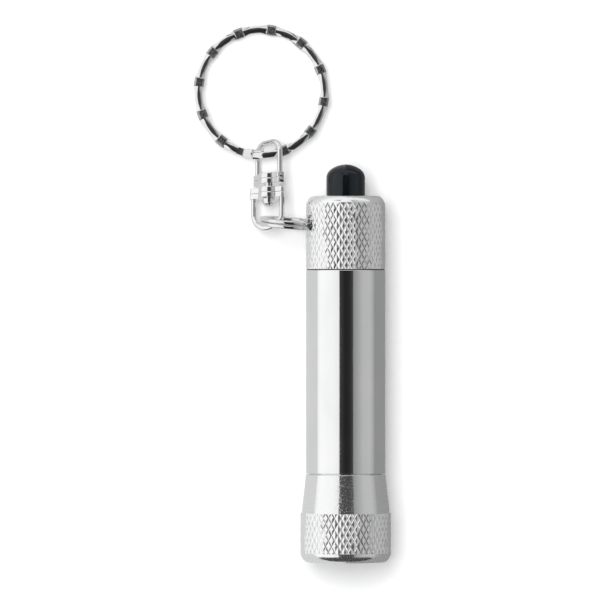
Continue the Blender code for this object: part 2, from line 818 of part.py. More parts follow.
def upper_path():
    """The upper bail's wire: up one leg, round the end and down the other."""
    centre = UPPER_HALF - UPPER_CORNER
    return [
        (UPPER_HALF, UPPER_EYE),
        *bend(centre, UPPER_BEND - UPPER_CORNER, UPPER_CORNER, 0, 90),
        *bend(-centre, UPPER_BEND - UPPER_CORNER, UPPER_CORNER, 90, 180),
        (-UPPER_HALF, UPPER_EYE),
    ]


def make_bail(name, path, left, right, eye, turn):
    """A wire bail whose flattened ends lap round the rivet."""
    frame = swivel_frame(turn)
    wire = [(across, 0, along) for across, along in path]
    bail = curve_mesh(name, wire, frame, CHROME, bevel_depth=WIRE_R)
    boolean(bail, strap_block(name + "_eyes", left, right, eye - EYE_THICK / 2, frame), "UNION")
    return bail, frame


def make_swivel():
    """Two bails that turn on one rivet: the lower one on the small ring, the upper one on the key ring."""
    bottom = LOWER_EYE - EYE_THICK / 2
    lower, frame = make_bail(
        "swivel_lower_loop", lower_path(), LOWER_LEFT, LOWER_RIGHT, LOWER_EYE, LOWER_TURN
    )
    cut_bore(lower, bottom - 1, bottom + EYE_THICK + 1, EYE_HOLE_R, frame)
    blind = UPPER_EYE + EYE_THICK / 2 - BLIND_WALL
    upper, frame = make_bail(
        "swivel_upper_loop", upper_path(), UPPER_HALF, UPPER_HALF, UPPER_EYE, UPPER_TURN
    )
    cut_bore(upper, UPPER_EYE - EYE_THICK, blind, SHANK_R + SHANK_SPACE, frame)
    head_top = bottom - RUN_GAP
    rivet = [
        (blind - RUN_GAP, 0.0),
        (blind - RUN_GAP, SHANK_R),
        (head_top, SHANK_R),
        *[(head_top - RIVET_HEAD_TALL * math.sin(a), RIVET_HEAD_R * math.cos(a)) for a in DOME_STEPS],
        (head_top - RIVET_HEAD_TALL, 0.0),
    ]
    turned("swivel_rivet", rivet, [], CHROME, SMALL_ROUND, frame)


def make_key_ring():
    """The large split ring: it leans on the swivel, and its far edge lies on the floor."""
    hinge = Matrix.Translation(place(-SWIVEL_OUT, KEY_STATION, KEY_Z)) @ Matrix.Rotation(-KEY_TILT, 4, "X")
    lean = Matrix.Rotation(KEY_LEAN, 4, "Z") @ Matrix.Translation(Vector((0, KEY_RING_R, 0)) * MM)
    frame = hinge @ lean @ Matrix.Rotation(-KEY_LEAN, 4, "Z")
    split_ring(
        "key_ring", KEY_RING_R, KEY_RING_WIDE, KEY_COIL, KEY_PITCH,
        KEY_JOG_START, KEY_JOG, frame, RING_NICKEL,
    )


make_head_shell()
make_barrel_tube()
make_tail_cap()
make_o_rings()
make_lens_window()
make_lens_gasket()
make_reflector()
make_led()
make_led_board()
make_driver_parts()
make_cell()
make_switch()
make_push_button()
make_small_ring()
make_swivel()
make_key_ring()
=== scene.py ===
import json
import random
from math import acos, asin, atan2, ceil, copysign, cos, degrees, floor, pi, radians, sin, tan

import bmesh
import bpy
from mathutils import Matrix, Vector


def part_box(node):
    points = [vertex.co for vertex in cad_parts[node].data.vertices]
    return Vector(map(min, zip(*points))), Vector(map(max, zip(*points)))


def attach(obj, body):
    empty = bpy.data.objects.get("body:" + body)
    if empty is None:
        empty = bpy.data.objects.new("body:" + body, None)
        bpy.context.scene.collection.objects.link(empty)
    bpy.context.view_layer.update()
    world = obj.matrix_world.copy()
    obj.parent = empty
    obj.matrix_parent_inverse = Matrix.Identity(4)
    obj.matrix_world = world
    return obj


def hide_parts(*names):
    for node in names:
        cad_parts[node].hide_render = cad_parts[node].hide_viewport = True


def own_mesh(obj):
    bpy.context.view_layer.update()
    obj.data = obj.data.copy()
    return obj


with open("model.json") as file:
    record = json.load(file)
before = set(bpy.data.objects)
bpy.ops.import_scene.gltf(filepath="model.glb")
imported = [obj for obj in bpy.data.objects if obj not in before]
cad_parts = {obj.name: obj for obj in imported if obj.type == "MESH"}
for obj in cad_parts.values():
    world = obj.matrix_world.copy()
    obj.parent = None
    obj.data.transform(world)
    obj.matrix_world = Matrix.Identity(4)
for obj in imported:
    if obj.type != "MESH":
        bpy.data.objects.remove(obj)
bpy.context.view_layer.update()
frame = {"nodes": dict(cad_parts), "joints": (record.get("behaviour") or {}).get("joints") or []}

# Lengths below are in millimetres. MM turns them into metres.
MM = 0.001
STEPS = 192

# Torch: stations run along its axis from the flat front of the head
HEAD_R = 8.3
HEAD_FACE_R = 7.15
HEAD_ROUND = 1.67
HEAD_ROUND_POWER = 1.3
HEAD_KNURL_END = 8.96
HEAD_BORE_R = 6.6
HEAD_BORE_END = 11.2
HEAD_WINDOW_R = 5.6
HEAD_LIP = 1.2
BAND_LAP = 8.5
BAND_LAP_R = 8.0
TAPER_LAP = 8.55
TAPER_R = 8.05
TUBE_R = 7.25
HEAD_END = 16.05
CAP_START = 53.45
CAP_END = 67.0
CAP_ROUND = 2.0
CAP_FACE_R = 5.85
CAP_BORE_END = 58.4
CAP_EDGE = 0.12
SWITCH_BORE_R = 4.25
SHOULDER_SEAT_R = 6.7
SHOULDER_R = 6.65
SEAM = 0.15
BLANK_COVER = 0.02
BORE_R = 5.4

# Necks of the tube: threads and seals
NECK_START = 11.3
NECK_END = 57.0
FRONT_THREAD = (11.6, 14.2)
TAIL_THREAD = (55.4, 56.8)
THREAD_R = 6.35
THREAD_BORE_R = 6.45
THREAD_PITCH = 0.75
THREAD_DEPTH = 0.32
THREAD_STEP = 0.05
THREAD_FADE = 0.4
THREAD_SHARP = 1.4
FRONT_SEAL = 14.9
TAIL_SEAL = 54.7
SEAL_R = 6.12
SEAL_WIRE_R = 0.22
GROOVE_R = 5.8
GROOVE_HALF = 0.42

# Button
BUTTON_R = 3.55
BUTTON_END = 72.8
BUTTON_HOLE_R = 3.68
BUTTON_DOME_R = 4.5
BUTTON_RISE = 1.0
FLANGE_R = 4.1
FLANGE_START = 64.2
FLANGE_END = 65.6

# Window, mirrored cup and diode
WINDOW_FRONT = 0.5
WINDOW_R = 5.5
RIM_FRONT = 1.3
RIM_BACK = 2.4
RIM_R = 6.45
CUP_FRONT = 3.2
CUP_DEEP = 4.6
CUP_R = 5.6
CUP_HOLE_R = 2.65
CUP_RIM_R = 6.4
CUP_RIM_END = 4.2
CUP_BACK = 8.8
CUP_BACK_R = 3.4
DIODE_R = 2.4
DIODE_DOME = 2.2
DIODE_SHOULDER = 7.0
DIODE_COLLAR = 9.0
DIODE_COLLAR_R = 2.85
DIODE_BACK = 9.9

# Knurl: diamonds between two sets of helical grooves
CAP_KNURL_AROUND = 40
HEAD_KNURL_AROUND = 45
KNURL_TALL = 2.05
KNURL_DEPTH = 0.145
KNURL_FLAT = 0.12
KNURL_SHELF = 0.62
KNURL_CROWN = 0.045
KNURL_EDGE = 0.03
KNURL_SHARP = 13.5
FLOOR_SCATTER = 0.012
LEAN_SCATTER = 0.03
TOP_SCATTER = 0.02
CORNER_SCATTER = 0.006
CAP_KNURL_END = 65.8
SHOULDER_SEAT = CAP_KNURL_END - 0.05
SHOULDER_START = CAP_KNURL_END - 0.06

# Small ring and its passage through the cap
LUG_STATION = 61.75
SMALL_RING_OUT = 10.55
SMALL_RING_R = 4.8
SMALL_RING_WIDE = 0.95
SMALL_COIL = 0.75
SMALL_PITCH = 0.8
SMALL_SQUARE = 0.75
SMALL_JOG_START = 335.0
SMALL_JOG = 30.0
SMALL_RING_TURN = -5.0
SMALL_RING_LEAN = 5.0
LUG_SWING = 12.0
RING_CORNERS = 32
PASSAGE_TURN = 66
PASSAGE_ROWS = 45
PASSAGE_SLACK = 0.36
PASSAGE_SQUARE = 0.75
MOUTH_TURN = 30
MOUTH_RAMP = 9
MOUTH_FLARE = 0.24

# Button spring
SPRING_WIRE_R = 0.17
SPRING_TURNS = 3.5
SPRING_STEPS = 40
SPRING_CORNERS = 10

# Swivel
WIRE_R = 0.5
LOWER_LEFT = 3.15
LOWER_RIGHT = 2.75
LOWER_LEFT_CORNER = 2.7
LOWER_RIGHT_CORNER = 1.2
LOWER_SLANT = 33.0
UPPER_HALF = 2.9
UPPER_CORNER = 2.0
EYE_R = 1.98
EYE_THICK = 2.0
EYE_HOLE_R = 0.85
SHANK_R = 0.75
SHANK_FIT = 0.05
RIVET_HEAD_R = 1.25
RIVET_HEAD_TALL = 1.5
RIVET_RIM = 0.25
RIVET_EDGE = 0.08
RUN_GAP = 0.1
BLIND_WALL = 0.4
WIRE_STEPS = 24
WIRE_LAP = 0.3
STRAP_GAP = 0.01
STRAP_EDGE = 0.07
STRAP_HALF = 0.8
STRAP_CORNER = 0.35
STRAP_PROUD = 0.04
FAR_INSET = 0.03
FAR_EYE_R = 1.93
LOWER_EYE = 6.49
UPPER_EYE = 9.07
UPPER_BEND = 15.98
UPPER_TURN = -17.0

# Key ring
KEY_RING_R = 11.6
KEY_COIL = 0.85
KEY_PITCH = 0.9
KEY_JOG_START = 249.0
KEY_JOG = 26.0
KEY_NODE_FIRST = 21.0
KEY_NODE_STEP = 30.0
KEY_NODE_HALF = 3.6
KEY_NODE_RAMP = 0.5
KEY_NODE_WIDE = 1.8
KEY_WAIST_WIDE = 1.3
KEY_FLARE_WIDE = 1.7
KEY_SHARP_CROWN = 0.42
KEY_FLAT_CROWN = 0.13
KEY_NODE_BEVEL = 0.12
KEY_FLARE_TURN = 7.0
KEY_WAIST_DROP = 0.03
KEY_PLAIN_MARGIN = 2
KEY_PLAIN_RAMP = 3
KEY_UNCUT_MARGIN = 5
KEY_FINE_STEP = 0.25
KEY_STEP = 1.5
KEY_FINE_REACH = 0.8
WIRE_END_GAP = 1.0

# Studio, in metres: bright cards at the sides and ends, and a dark gap overhead
GLOW = 1.2
AMBIENT = 0.6
KEY_WATTS = 9.4
KEY_PANEL_SIZE = (0.5, 0.6)
KEY_PANEL_AT = (-0.16, 0.13, 1.1)
KEY_PANEL_TURN = (-7.0, -8.0)
GAP_LEFT = -0.155
GAP_RIGHT = 0.2
GAP_MIDDLE = 0.075
GAP_END = 0.34
CARD_TOP = 0.5
CARD_OUT = 0.95
CARD_HALF = 0.55
FAR_END = 0.8
FRONT_END = -0.62
END_HALF = 1.2
OPENING_Z = 0.495
OPENING_NEAR = -0.06
OPENING_FAR = -0.6
CAMERA_AT = (0.00147, -0.00141)
CAMERA_LENS = 400.0
CAMERA_FIELD = 0.1099
SENSOR = 36.0

head_low, head_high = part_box("head_shell")
AXIS_X = (head_low.x + head_high.x) / 2
AXIS_Z = (head_low.z + head_high.z) / 2
TORCH = Matrix.Translation((AXIS_X, head_low.y, AXIS_Z)) @ Matrix.Rotation(-pi / 2, 4, "X")
JOINTS = {joint["name"]: joint for joint in frame["joints"]}


def turn_about(axis, degrees):
    """A rotation about an axis of the frame."""
    return Matrix.Rotation(radians(degrees), 4, axis)


# Mesh making


def link(name, data, placed, material):
    """A new object at a place, with its material."""
    obj = bpy.data.objects.new(name, data)
    bpy.context.scene.collection.objects.link(obj)
    obj.matrix_world = placed
    if material is not None:
        data.materials.append(material)
    return obj


def piece(name, shape, placed, material):
    """A new object from a bmesh, with its faces turned outward."""
    mesh = bpy.data.meshes.new(name)
    bmesh.ops.recalc_face_normals(shape, faces=shape.faces)
    shape.to_mesh(mesh)
    shape.free()
    return link(name, mesh, placed, material)


def grid_shape(rows, closed):
    """A bmesh over rows of points in millimetres: each row is a loop, and the rows close or are capped."""
    shape = bmesh.new()
    grid = [[shape.verts.new(Vector(point) * MM) for point in row] for row in rows]
    tall = len(grid)
    wide = len(grid[0])
    for i in range(tall if closed else tall - 1):
        for j in range(wide):
            shape.faces.new((
                grid[i][j],
                grid[i][(j + 1) % wide],
                grid[(i + 1) % tall][(j + 1) % wide],
                grid[(i + 1) % tall][j],
            ))
    if not closed:
        shape.faces.new(grid[0])
        shape.faces.new(grid[-1])
    bmesh.ops.remove_doubles(shape, verts=shape.verts, dist=0.0000005)
    return shape


def turns(step, count):
    """Angles from zero up, in steps of some degrees."""
    return [radians(step * i) for i in range(count)]


def rounded(corners, arc_steps=4):
    """A closed outline of (station, radius, fillet) corners, with each fillet as an arc."""
    points = []
    count = len(corners)
    for i, (station, radius, fillet) in enumerate(corners):
        here = Vector((station, radius))
        back = Vector(corners[i - 1][:2]) - here
        ahead = Vector(corners[(i + 1) % count][:2]) - here
        if fillet <= 0:
            points.append((station, radius))
            continue
        half = back.angle(ahead) / 2
        reach = min(fillet / tan(half), back.length * 0.48, ahead.length * 0.48)
        size = reach * tan(half)
        bisector = (back.normalized() + ahead.normalized()).normalized()
        centre = here + bisector * (size / sin(half))
        first = here + back.normalized() * reach - centre
        last = here + ahead.normalized() * reach - centre
        sweep = first.angle_signed(last)
        for step in range(arc_steps + 1):
            spoke = first.copy()
            spoke.rotate(Matrix.Rotation(-sweep * step / arc_steps, 2))
            point = centre + spoke
            points.append((point.x, max(point.y, 0.0)))
    return points


def turned_shape(outline, steps=STEPS, thread=None):
    """A body turned about local Z from a closed outline of (station, radius) points."""
    rows = []
    for i in range(steps):
        angle = 2 * pi * i / steps
        row = []
        for station, radius in outline:
            if thread is not None:
                radius -= thread(station, radius, angle)
            row.append((radius * cos(angle), radius * sin(angle), station))
        rows.append(row)
    return grid_shape(rows, True)


def lathe(name, outline, material, placed=TORCH, steps=STEPS):
    """A turned piece from a closed outline of (station, radius) points."""
    return piece(name, turned_shape(outline, steps), placed, material)


def turned(name, corners, material, placed=TORCH, steps=STEPS, arc_steps=4):
    """A turned piece from (station, radius, fillet) corners."""
    return lathe(name, rounded(corners, arc_steps), material, placed, steps)


def bevel(shape, edges, size, segments):
    """Rounds or breaks some edges of a bmesh."""
    bmesh.ops.bevel(
        shape, geom=edges, offset=size * MM, segments=segments,
        profile=0.5, affect="EDGES", clamp_overlap=True,
    )


def bake(obj):
    """Applies an object's modifiers."""
    bpy.context.view_layer.update()
    graph = bpy.context.evaluated_depsgraph_get()
    mesh = bpy.data.meshes.new_from_object(obj.evaluated_get(graph))
    mesh.name = obj.name
    obj.modifiers.clear()
    obj.data = mesh
    return obj


def boolean(obj, other, operation):
    """Joins, cuts or clips an object by another, which is used up."""
    modifier = obj.modifiers.new(operation, "BOOLEAN")
    modifier.operation = operation
    modifier.object = other
    modifier.solver = "EXACT"
    bake(obj)
    bpy.data.objects.remove(other, do_unlink=True)


def shade(obj, sharp=32.0):
    """Smooth shading whose flats stay flat beside their rounded edges."""
    obj.data.shade_smooth()
    obj.data.set_sharp_from_angle(angle=radians(sharp))
    normals = obj.modifiers.new("flats", "WEIGHTED_NORMAL")
    normals.keep_sharp = True
    return obj


def coat(obj, material):
    """Gives a piece one material all over."""
    obj.data.materials.clear()
    obj.data.materials.append(material)


def give(obj, body, slot, *nodes):
    """Puts a piece on its CAD body, in place of CAD nodes. The slot argument is not used."""
    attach(obj, body)
    if nodes:
        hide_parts(*nodes)
    return obj


# Materials


def paint(name, colour, metallic, roughness):
    """A new material with its node tree and its shader."""
    made = bpy.data.materials.new(name)
    made.use_nodes = True
    shader = made.node_tree.nodes["Principled BSDF"]
    shader.inputs["Base Color"].default_value = (*colour, 1.0)
    shader.inputs["Metallic"].default_value = metallic
    shader.inputs["Roughness"].default_value = roughness
    return made, made.node_tree, shader


def node(tree, kind, values=None):
    """A new shader node with some of its inputs set."""
    made = tree.nodes.new("ShaderNode" + kind)
    for name, value in (values or {}).items():
        made.inputs[name].default_value = value
    return made


def stretched(tree, scale, turn=(0.0, 0.0, 0.0)):
    """Object coordinates in millimetres, stretched by a scale on each axis."""
    mapping = node(tree, "Mapping", {
        "Scale": [s / MM for s in scale], "Rotation": [radians(t) for t in turn],
    })
    tree.links.new(node(tree, "TexCoord").outputs["Object"], mapping.inputs["Vector"])
    return mapping.outputs["Vector"]


def noise(tree, scale, detail, rough=0.5, turn=(0.0, 0.0, 0.0)):
    """Noise with a number of cells in a millimetre: one number, or one for each axis."""
    vector = stretched(tree, scale if isinstance(scale, tuple) else (scale,) * 3, turn)
    made = node(tree, "TexNoise", {"Scale": 1.0, "Detail": detail, "Roughness": rough})
    tree.links.new(vector, made.inputs["Vector"])
    return made.outputs["Fac"]


def spread(tree, value, to_low, to_high, low=0.3, high=0.7):
    """Maps one range of a value onto another, clamped."""
    made = node(tree, "MapRange", {
        "From Min": low, "From Max": high, "To Min": to_low, "To Max": to_high,
    })
    tree.links.new(value, made.inputs["Value"])
    return made.outputs["Result"]


def total(tree, first, second):
    """The sum of two values."""
    made = node(tree, "Math")
    made.operation = "ADD"
    tree.links.new(first, made.inputs[0])
    tree.links.new(second, made.inputs[1])
    return made.outputs["Value"]


def tint(tree, shader, value, dark, light, low=0.3, high=0.7):
    """The base colour runs between two, by a value's place in a range."""
    made = node(tree, "ValToRGB")
    for stop, place, colour in zip(made.color_ramp.elements, (low, high), (dark, light)):
        stop.position = place
        stop.color = (*colour, 1.0)
    tree.links.new(value, made.inputs["Fac"])
    tree.links.new(made.outputs["Color"], shader.inputs["Base Color"])


def gloss(tree, shader, value):
    """A value sets the roughness."""
    tree.links.new(value, shader.inputs["Roughness"])


def relief(tree, shader, height, distance):
    """Bump of a height field whose full range is a distance in millimetres."""
    made = node(tree, "Bump", {"Distance": distance * MM, "Strength": 1.0})
    tree.links.new(height, made.inputs["Height"])
    tree.links.new(made.outputs["Normal"], shader.inputs["Normal"])


def scratches(tree, turn, fine, along):
    """Sparse hairlines: thin crests of a noise stretched along one direction."""
    lines = noise(tree, (fine, fine, along), 2.0, turn=turn)
    return spread(tree, lines, 0.0, 1.0, 0.66, 0.72)


def polished_metal():
    """Polished tube: mirror bright, with faint turning lines, smudges and hairlines."""
    made, tree, shader = paint("polished_metal", (0.90, 0.905, 0.91), 1.0, 0.07)
    smudge = noise(tree, (0.16, 0.16, 0.10), 4.0)
    rings = noise(tree, (0.05, 0.05, 9.0), 2.0)
    hairs = scratches(tree, (24.0, 8.0, 0.0), 5.0, 0.12)
    base = spread(tree, smudge, 0.045, 0.10)
    worn = spread(tree, hairs, 0.0, 0.08, 0.0, 1.0)
    gloss(tree, shader, total(tree, base, worn))
    tint(tree, shader, smudge, (0.86, 0.87, 0.875), (0.93, 0.93, 0.93))
    relief(tree, shader, rings, 0.002)
    return made


def satin_metal(name, metallic, low, high, specks):
    """Bright satin metal: a smooth skin with a sprinkling of matt specks."""
    made, tree, shader = paint(name, (0.90, 0.90, 0.90), metallic, high)
    grain = noise(tree, 4.6, 2.0, 0.6)
    cloud = noise(tree, 0.3, 3.0)
    skin = spread(tree, cloud, low, high)
    matt = spread(tree, grain, 0.0, specks, 0.5, 0.66)
    gloss(tree, shader, total(tree, skin, matt))
    tint(tree, shader, grain, (0.89, 0.895, 0.90), (0.93, 0.93, 0.93), 0.35, 0.65)
    relief(tree, shader, grain, 0.003)
    return made


def knurl_metal():
    """The rolled knurl: bright flanks with burnished tips and a little grain."""
    made, tree, shader = paint("knurl_metal", (0.93, 0.93, 0.93), 0.93, 0.08)
    grain = noise(tree, 4.0, 3.0, 0.6)
    patch = noise(tree, 0.5, 2.0)
    gloss(tree, shader, spread(tree, patch, 0.05, 0.12))
    tint(tree, shader, grain, (0.84, 0.845, 0.85), (0.96, 0.96, 0.96))
    relief(tree, shader, grain, 0.006)
    return made


def chrome(name, bright, low, high, ripple):
    """Plated wire: smooth, with slight drawing ripples and rubbed patches."""
    made, tree, shader = paint(name, (bright,) * 3, 1.0, low)
    patch = noise(tree, 0.6, 3.0)
    hairs = scratches(tree, (40.0, 25.0, 10.0), 6.0, 0.4)
    base = spread(tree, patch, low, high)
    worn = spread(tree, hairs, 0.0, 0.1, 0.0, 1.0)
    gloss(tree, shader, total(tree, base, worn))
    dark = (bright * 0.93,) * 3
    tint(tree, shader, patch, dark, (bright,) * 3, 0.35, 0.65)
    relief(tree, shader, patch, ripple)
    return made


def cut_plate():
    """The key ring's cut blocks: tool marks over the plating, duller than the rolled wire."""
    made, tree, shader = paint("ring_cut", (0.5, 0.51, 0.52), 1.0, 0.2)
    marks = noise(tree, (7.0, 2.0, 7.0), 2.0, turn=(0.0, 0.0, 35.0))
    patch = noise(tree, 1.5, 3.0)
    gloss(tree, shader, spread(tree, patch, 0.14, 0.26))
    tint(tree, shader, marks, (0.30, 0.31, 0.32), (0.66, 0.67, 0.68))
    relief(tree, shader, marks, 0.035)
    return made


def black_plastic():
    """Glossy black moulded plastic with a faint skin and rubbed gloss."""
    made, tree, shader = paint("black_plastic", (0.005, 0.006, 0.007), 0.0, 0.12)
    shader.inputs["IOR"].default_value = 1.45
    shader.inputs["Specular Tint"].default_value = (0.82, 0.9, 1.0, 1.0)
    skin = noise(tree, (0.9, 0.9, 0.5), 3.0)
    dust = noise(tree, 7.0, 1.0)
    speck = spread(tree, dust, 0.0, 0.25, 0.7, 0.78)
    base = spread(tree, skin, 0.07, 0.16)
    gloss(tree, shader, total(tree, base, speck))
    tint(tree, shader, skin, (0.0035, 0.0045, 0.0055), (0.006, 0.0075, 0.009))
    relief(tree, shader, skin, 0.012)
    return made


def clear_lens():
    """Clear acrylic with a faint moulding ripple and tiny scuffs."""
    made, tree, shader = paint("clear_lens", (0.97, 0.985, 0.985), 0.0, 0.02)
    shader.inputs["Transmission Weight"].default_value = 1.0
    shader.inputs["IOR"].default_value = 1.49
    scuff = noise(tree, 3.0, 3.0)
    gloss(tree, shader, spread(tree, scuff, 0.01, 0.09, 0.6, 0.75))
    ripple = noise(tree, 0.25, 1.0)
    relief(tree, shader, ripple, 0.01)
    return made


def mirror_plating():
    """Vacuum-metallised reflector with a very slight orange peel."""
    made, tree, shader = paint("mirror_plating", (0.93, 0.935, 0.94), 1.0, 0.04)
    peel = noise(tree, 1.4, 2.0)
    gloss(tree, shader, spread(tree, peel, 0.02, 0.07))
    relief(tree, shader, peel, 0.006)
    return made


def moulded(name, dark, light, low, high, grain, height):
    """A plain moulded or coated surface: mottled colour, roughness and grain."""
    made, tree, shader = paint(name, light, 0.0, high)
    mottle = noise(tree, grain, 4.0)
    tint(tree, shader, mottle, dark, light)
    gloss(tree, shader, spread(tree, mottle, low, high))
    relief(tree, shader, mottle, height)
    return made


def bare_metal(name, dark, light, low, high, grain):
    """Unplated metal: tarnished in patches, with drawing lines."""
    made, tree, shader = paint(name, light, 1.0, high)
    patch = noise(tree, grain, 4.0)
    lines = noise(tree, (8.0, 8.0, 0.8), 2.0)
    tint(tree, shader, patch, dark, light)
    gloss(tree, shader, spread(tree, patch, low, high))
    relief(tree, shader, lines, 0.004)
    return made


def circuit_board():
    """Green lacquer over fields of copper, with narrow gaps between them."""
    made, tree, shader = paint("circuit_board", (0.02, 0.16, 0.07), 0.0, 0.3)
    cells = node(tree, "TexVoronoi", {"Scale": 1.0})
    cells.feature = "DISTANCE_TO_EDGE"
    tree.links.new(stretched(tree, (0.9, 0.9, 0.9)), cells.inputs["Vector"])
    track = spread(tree, cells.outputs["Distance"], 0.0, 1.0, 0.05, 0.08)
    tint(tree, shader, track, (0.03, 0.24, 0.10), (0.01, 0.11, 0.05), 0.0, 1.0)
    gloss(tree, shader, spread(tree, track, 0.22, 0.38, 0.0, 1.0))
    relief(tree, shader, track, 0.03)
    return made


POLISHED = polished_metal()
SATIN = satin_metal("satin_metal", 0.96, 0.05, 0.09, 0.26)
SHOULDER = satin_metal("shoulder_metal", 0.8, 0.12, 0.2, 0.1)
KNURL = knurl_metal()
CHROME_WIRE = chrome("chrome_wire", 0.90, 0.03, 0.09, 0.012)
RING_PLATE = chrome("ring_plate", 0.86, 0.05, 0.12, 0.010)
RING_CUT = cut_plate()
BLACK = black_plastic()
LENS = clear_lens()
MIRROR = mirror_plating()
EPOXY = moulded("led_epoxy", (0.80, 0.74, 0.42), (0.93, 0.90, 0.72), 0.05, 0.12, 0.7, 0.004)
RUBBER = moulded("rubber", (0.010, 0.010, 0.010), (0.030, 0.030, 0.030), 0.55, 0.75, 3.0, 0.01)
WHITE_PLASTIC = moulded("white_plastic", (0.66, 0.65, 0.60), (0.80, 0.79, 0.75), 0.35, 0.5, 2.0, 0.006)
CHIP = moulded("chip", (0.012, 0.012, 0.012), (0.035, 0.035, 0.036), 0.45, 0.65, 5.0, 0.006)
JACKET = moulded("jacket", (0.10, 0.11, 0.13), (0.20, 0.22, 0.25), 0.22, 0.4, 0.4, 0.006)
BRASS = bare_metal("brass", (0.62, 0.44, 0.16), (0.83, 0.66, 0.30), 0.16, 0.34, 0.8)
STEEL = bare_metal("steel", (0.45, 0.45, 0.45), (0.68, 0.68, 0.67), 0.15, 0.32, 0.8)
BOARD = circuit_board()


# Torch


def knurled_bar(name, radius, first, last, around, seed):
    """A solid bar of diamonds: grooves cross at their corners, and each diamond has a small flat top."""
    chance = random.Random(seed)
    half_turn = pi / around
    half_tall = KNURL_TALL / 2
    low_row = floor(first / half_tall) - 2
    high_row = ceil(last / half_tall) + 2
    floor_r = radius - KNURL_DEPTH
    shape = bmesh.new()
    crossings = {}
    ways = [(-1, 0), (0, -1), (1, 0), (0, 1)]

    def at(column, row, r):
        angle = column * half_turn
        return Vector((r * cos(angle), r * sin(angle), row * half_tall)) * MM

    for row in range(low_row, high_row + 1):
        for column in range(2 * around):
            if (row + column) % 2 == 0:
                depth = floor_r + chance.uniform(-FLOOR_SCATTER, FLOOR_SCATTER)
                crossings[column, row] = shape.verts.new(at(column, row, depth))
    for row in range(low_row + 1, high_row):
        for column in range(2 * around):
            if (row + column) % 2 == 0:
                continue
            lean_column = chance.uniform(-LEAN_SCATTER, LEAN_SCATTER)
            lean_row = chance.uniform(-LEAN_SCATTER, LEAN_SCATTER)
            top_r = radius - chance.uniform(0.0, TOP_SCATTER)
            corners = [crossings[(column + i) % (2 * around), row + j] for i, j in ways]
            rings = [corners]
            for share, drop in ((KNURL_SHELF, KNURL_CROWN), (KNURL_FLAT, 0.0)):
                rings.append([
                    shape.verts.new(at(
                        column + lean_column + i * share,
                        row + lean_row + j * share,
                        top_r - drop + chance.uniform(-CORNER_SCATTER, 0.0),
                    ))
                    for i, j in ways
                ])
            for outer, inner in zip(rings, rings[1:]):
                for k in range(4):
                    m = (k + 1) % 4
                    shape.faces.new((outer[k], outer[m], inner[m], inner[k]))
            shape.faces.new(rings[-1])
    bmesh.ops.recalc_face_normals(shape, faces=shape.faces)
    floors = set(crossings.values())
    grooves = [e for e in shape.edges if not e.is_boundary and floors.issuperset(e.verts)]
    bevel(shape, grooves, KNURL_EDGE, 1)
    for height, outward in ((first * MM, -1), (last * MM, 1)):
        bmesh.ops.bisect_plane(
            shape, geom=shape.verts[:] + shape.edges[:] + shape.faces[:], dist=0.0000001,
            plane_co=(0, 0, height), plane_no=(0, 0, outward), clear_outer=True,
        )
        rim = [
            e for e in shape.edges
            if e.is_boundary and all(abs(v.co.z - height) < 1e-6 for v in e.verts)
        ]
        bmesh.ops.edgeloop_fill(shape, edges=rim)
    return piece(name, shape, TORCH, None)


def ease(value):
    """0 to 1 with a soft start and end."""
    value = min(max(value, 0.0), 1.0)
    return value * value * (3 - 2 * value)


def ring_passage():
    """The bent slot that the small ring runs through, flared where it leaves the cap."""
    swing = radians(LUG_SWING)
    half_wire = SMALL_RING_WIDE / 2
    half_stack = (SMALL_PITCH + SMALL_COIL) / 2
    lug_out = AXIS_X / MM - JOINTS["lug_ring_swing"]["pos_m"][0] / MM
    rows = []
    for i in range(PASSAGE_ROWS):
        turn = -PASSAGE_TURN + 2 * PASSAGE_TURN * i / (PASSAGE_ROWS - 1)
        angle = radians(turn)
        flare = MOUTH_FLARE * ease((abs(turn) - MOUTH_TURN) / MOUTH_RAMP)
        out = -SMALL_RING_OUT + SMALL_RING_R * cos(angle)
        reach = abs(out + lug_out) + half_wire
        across = half_stack * cos(swing) + reach * sin(swing) + PASSAGE_SLACK + flare
        row = []
        for corner in range(RING_CORNERS):
            way = radians(360 / RING_CORNERS * corner)
            bulge = max(abs(cos(way)), abs(sin(way))) ** PASSAGE_SQUARE
            radial = SMALL_RING_R + (half_wire + PASSAGE_SLACK + flare) * cos(way) / bulge
            row.append((
                -SMALL_RING_OUT + radial * cos(angle),
                radial * sin(angle),
                across * sin(way) / bulge,
            ))
        rows.append(row)
    shape = grid_shape(rows, False)
    lean = Matrix.Rotation(-radians(SMALL_RING_LEAN), 4, "X")
    placed = TORCH @ Matrix.Translation((0, 0, LUG_STATION * MM)) @ lean
    return piece("ring_passage", shape, placed, None)


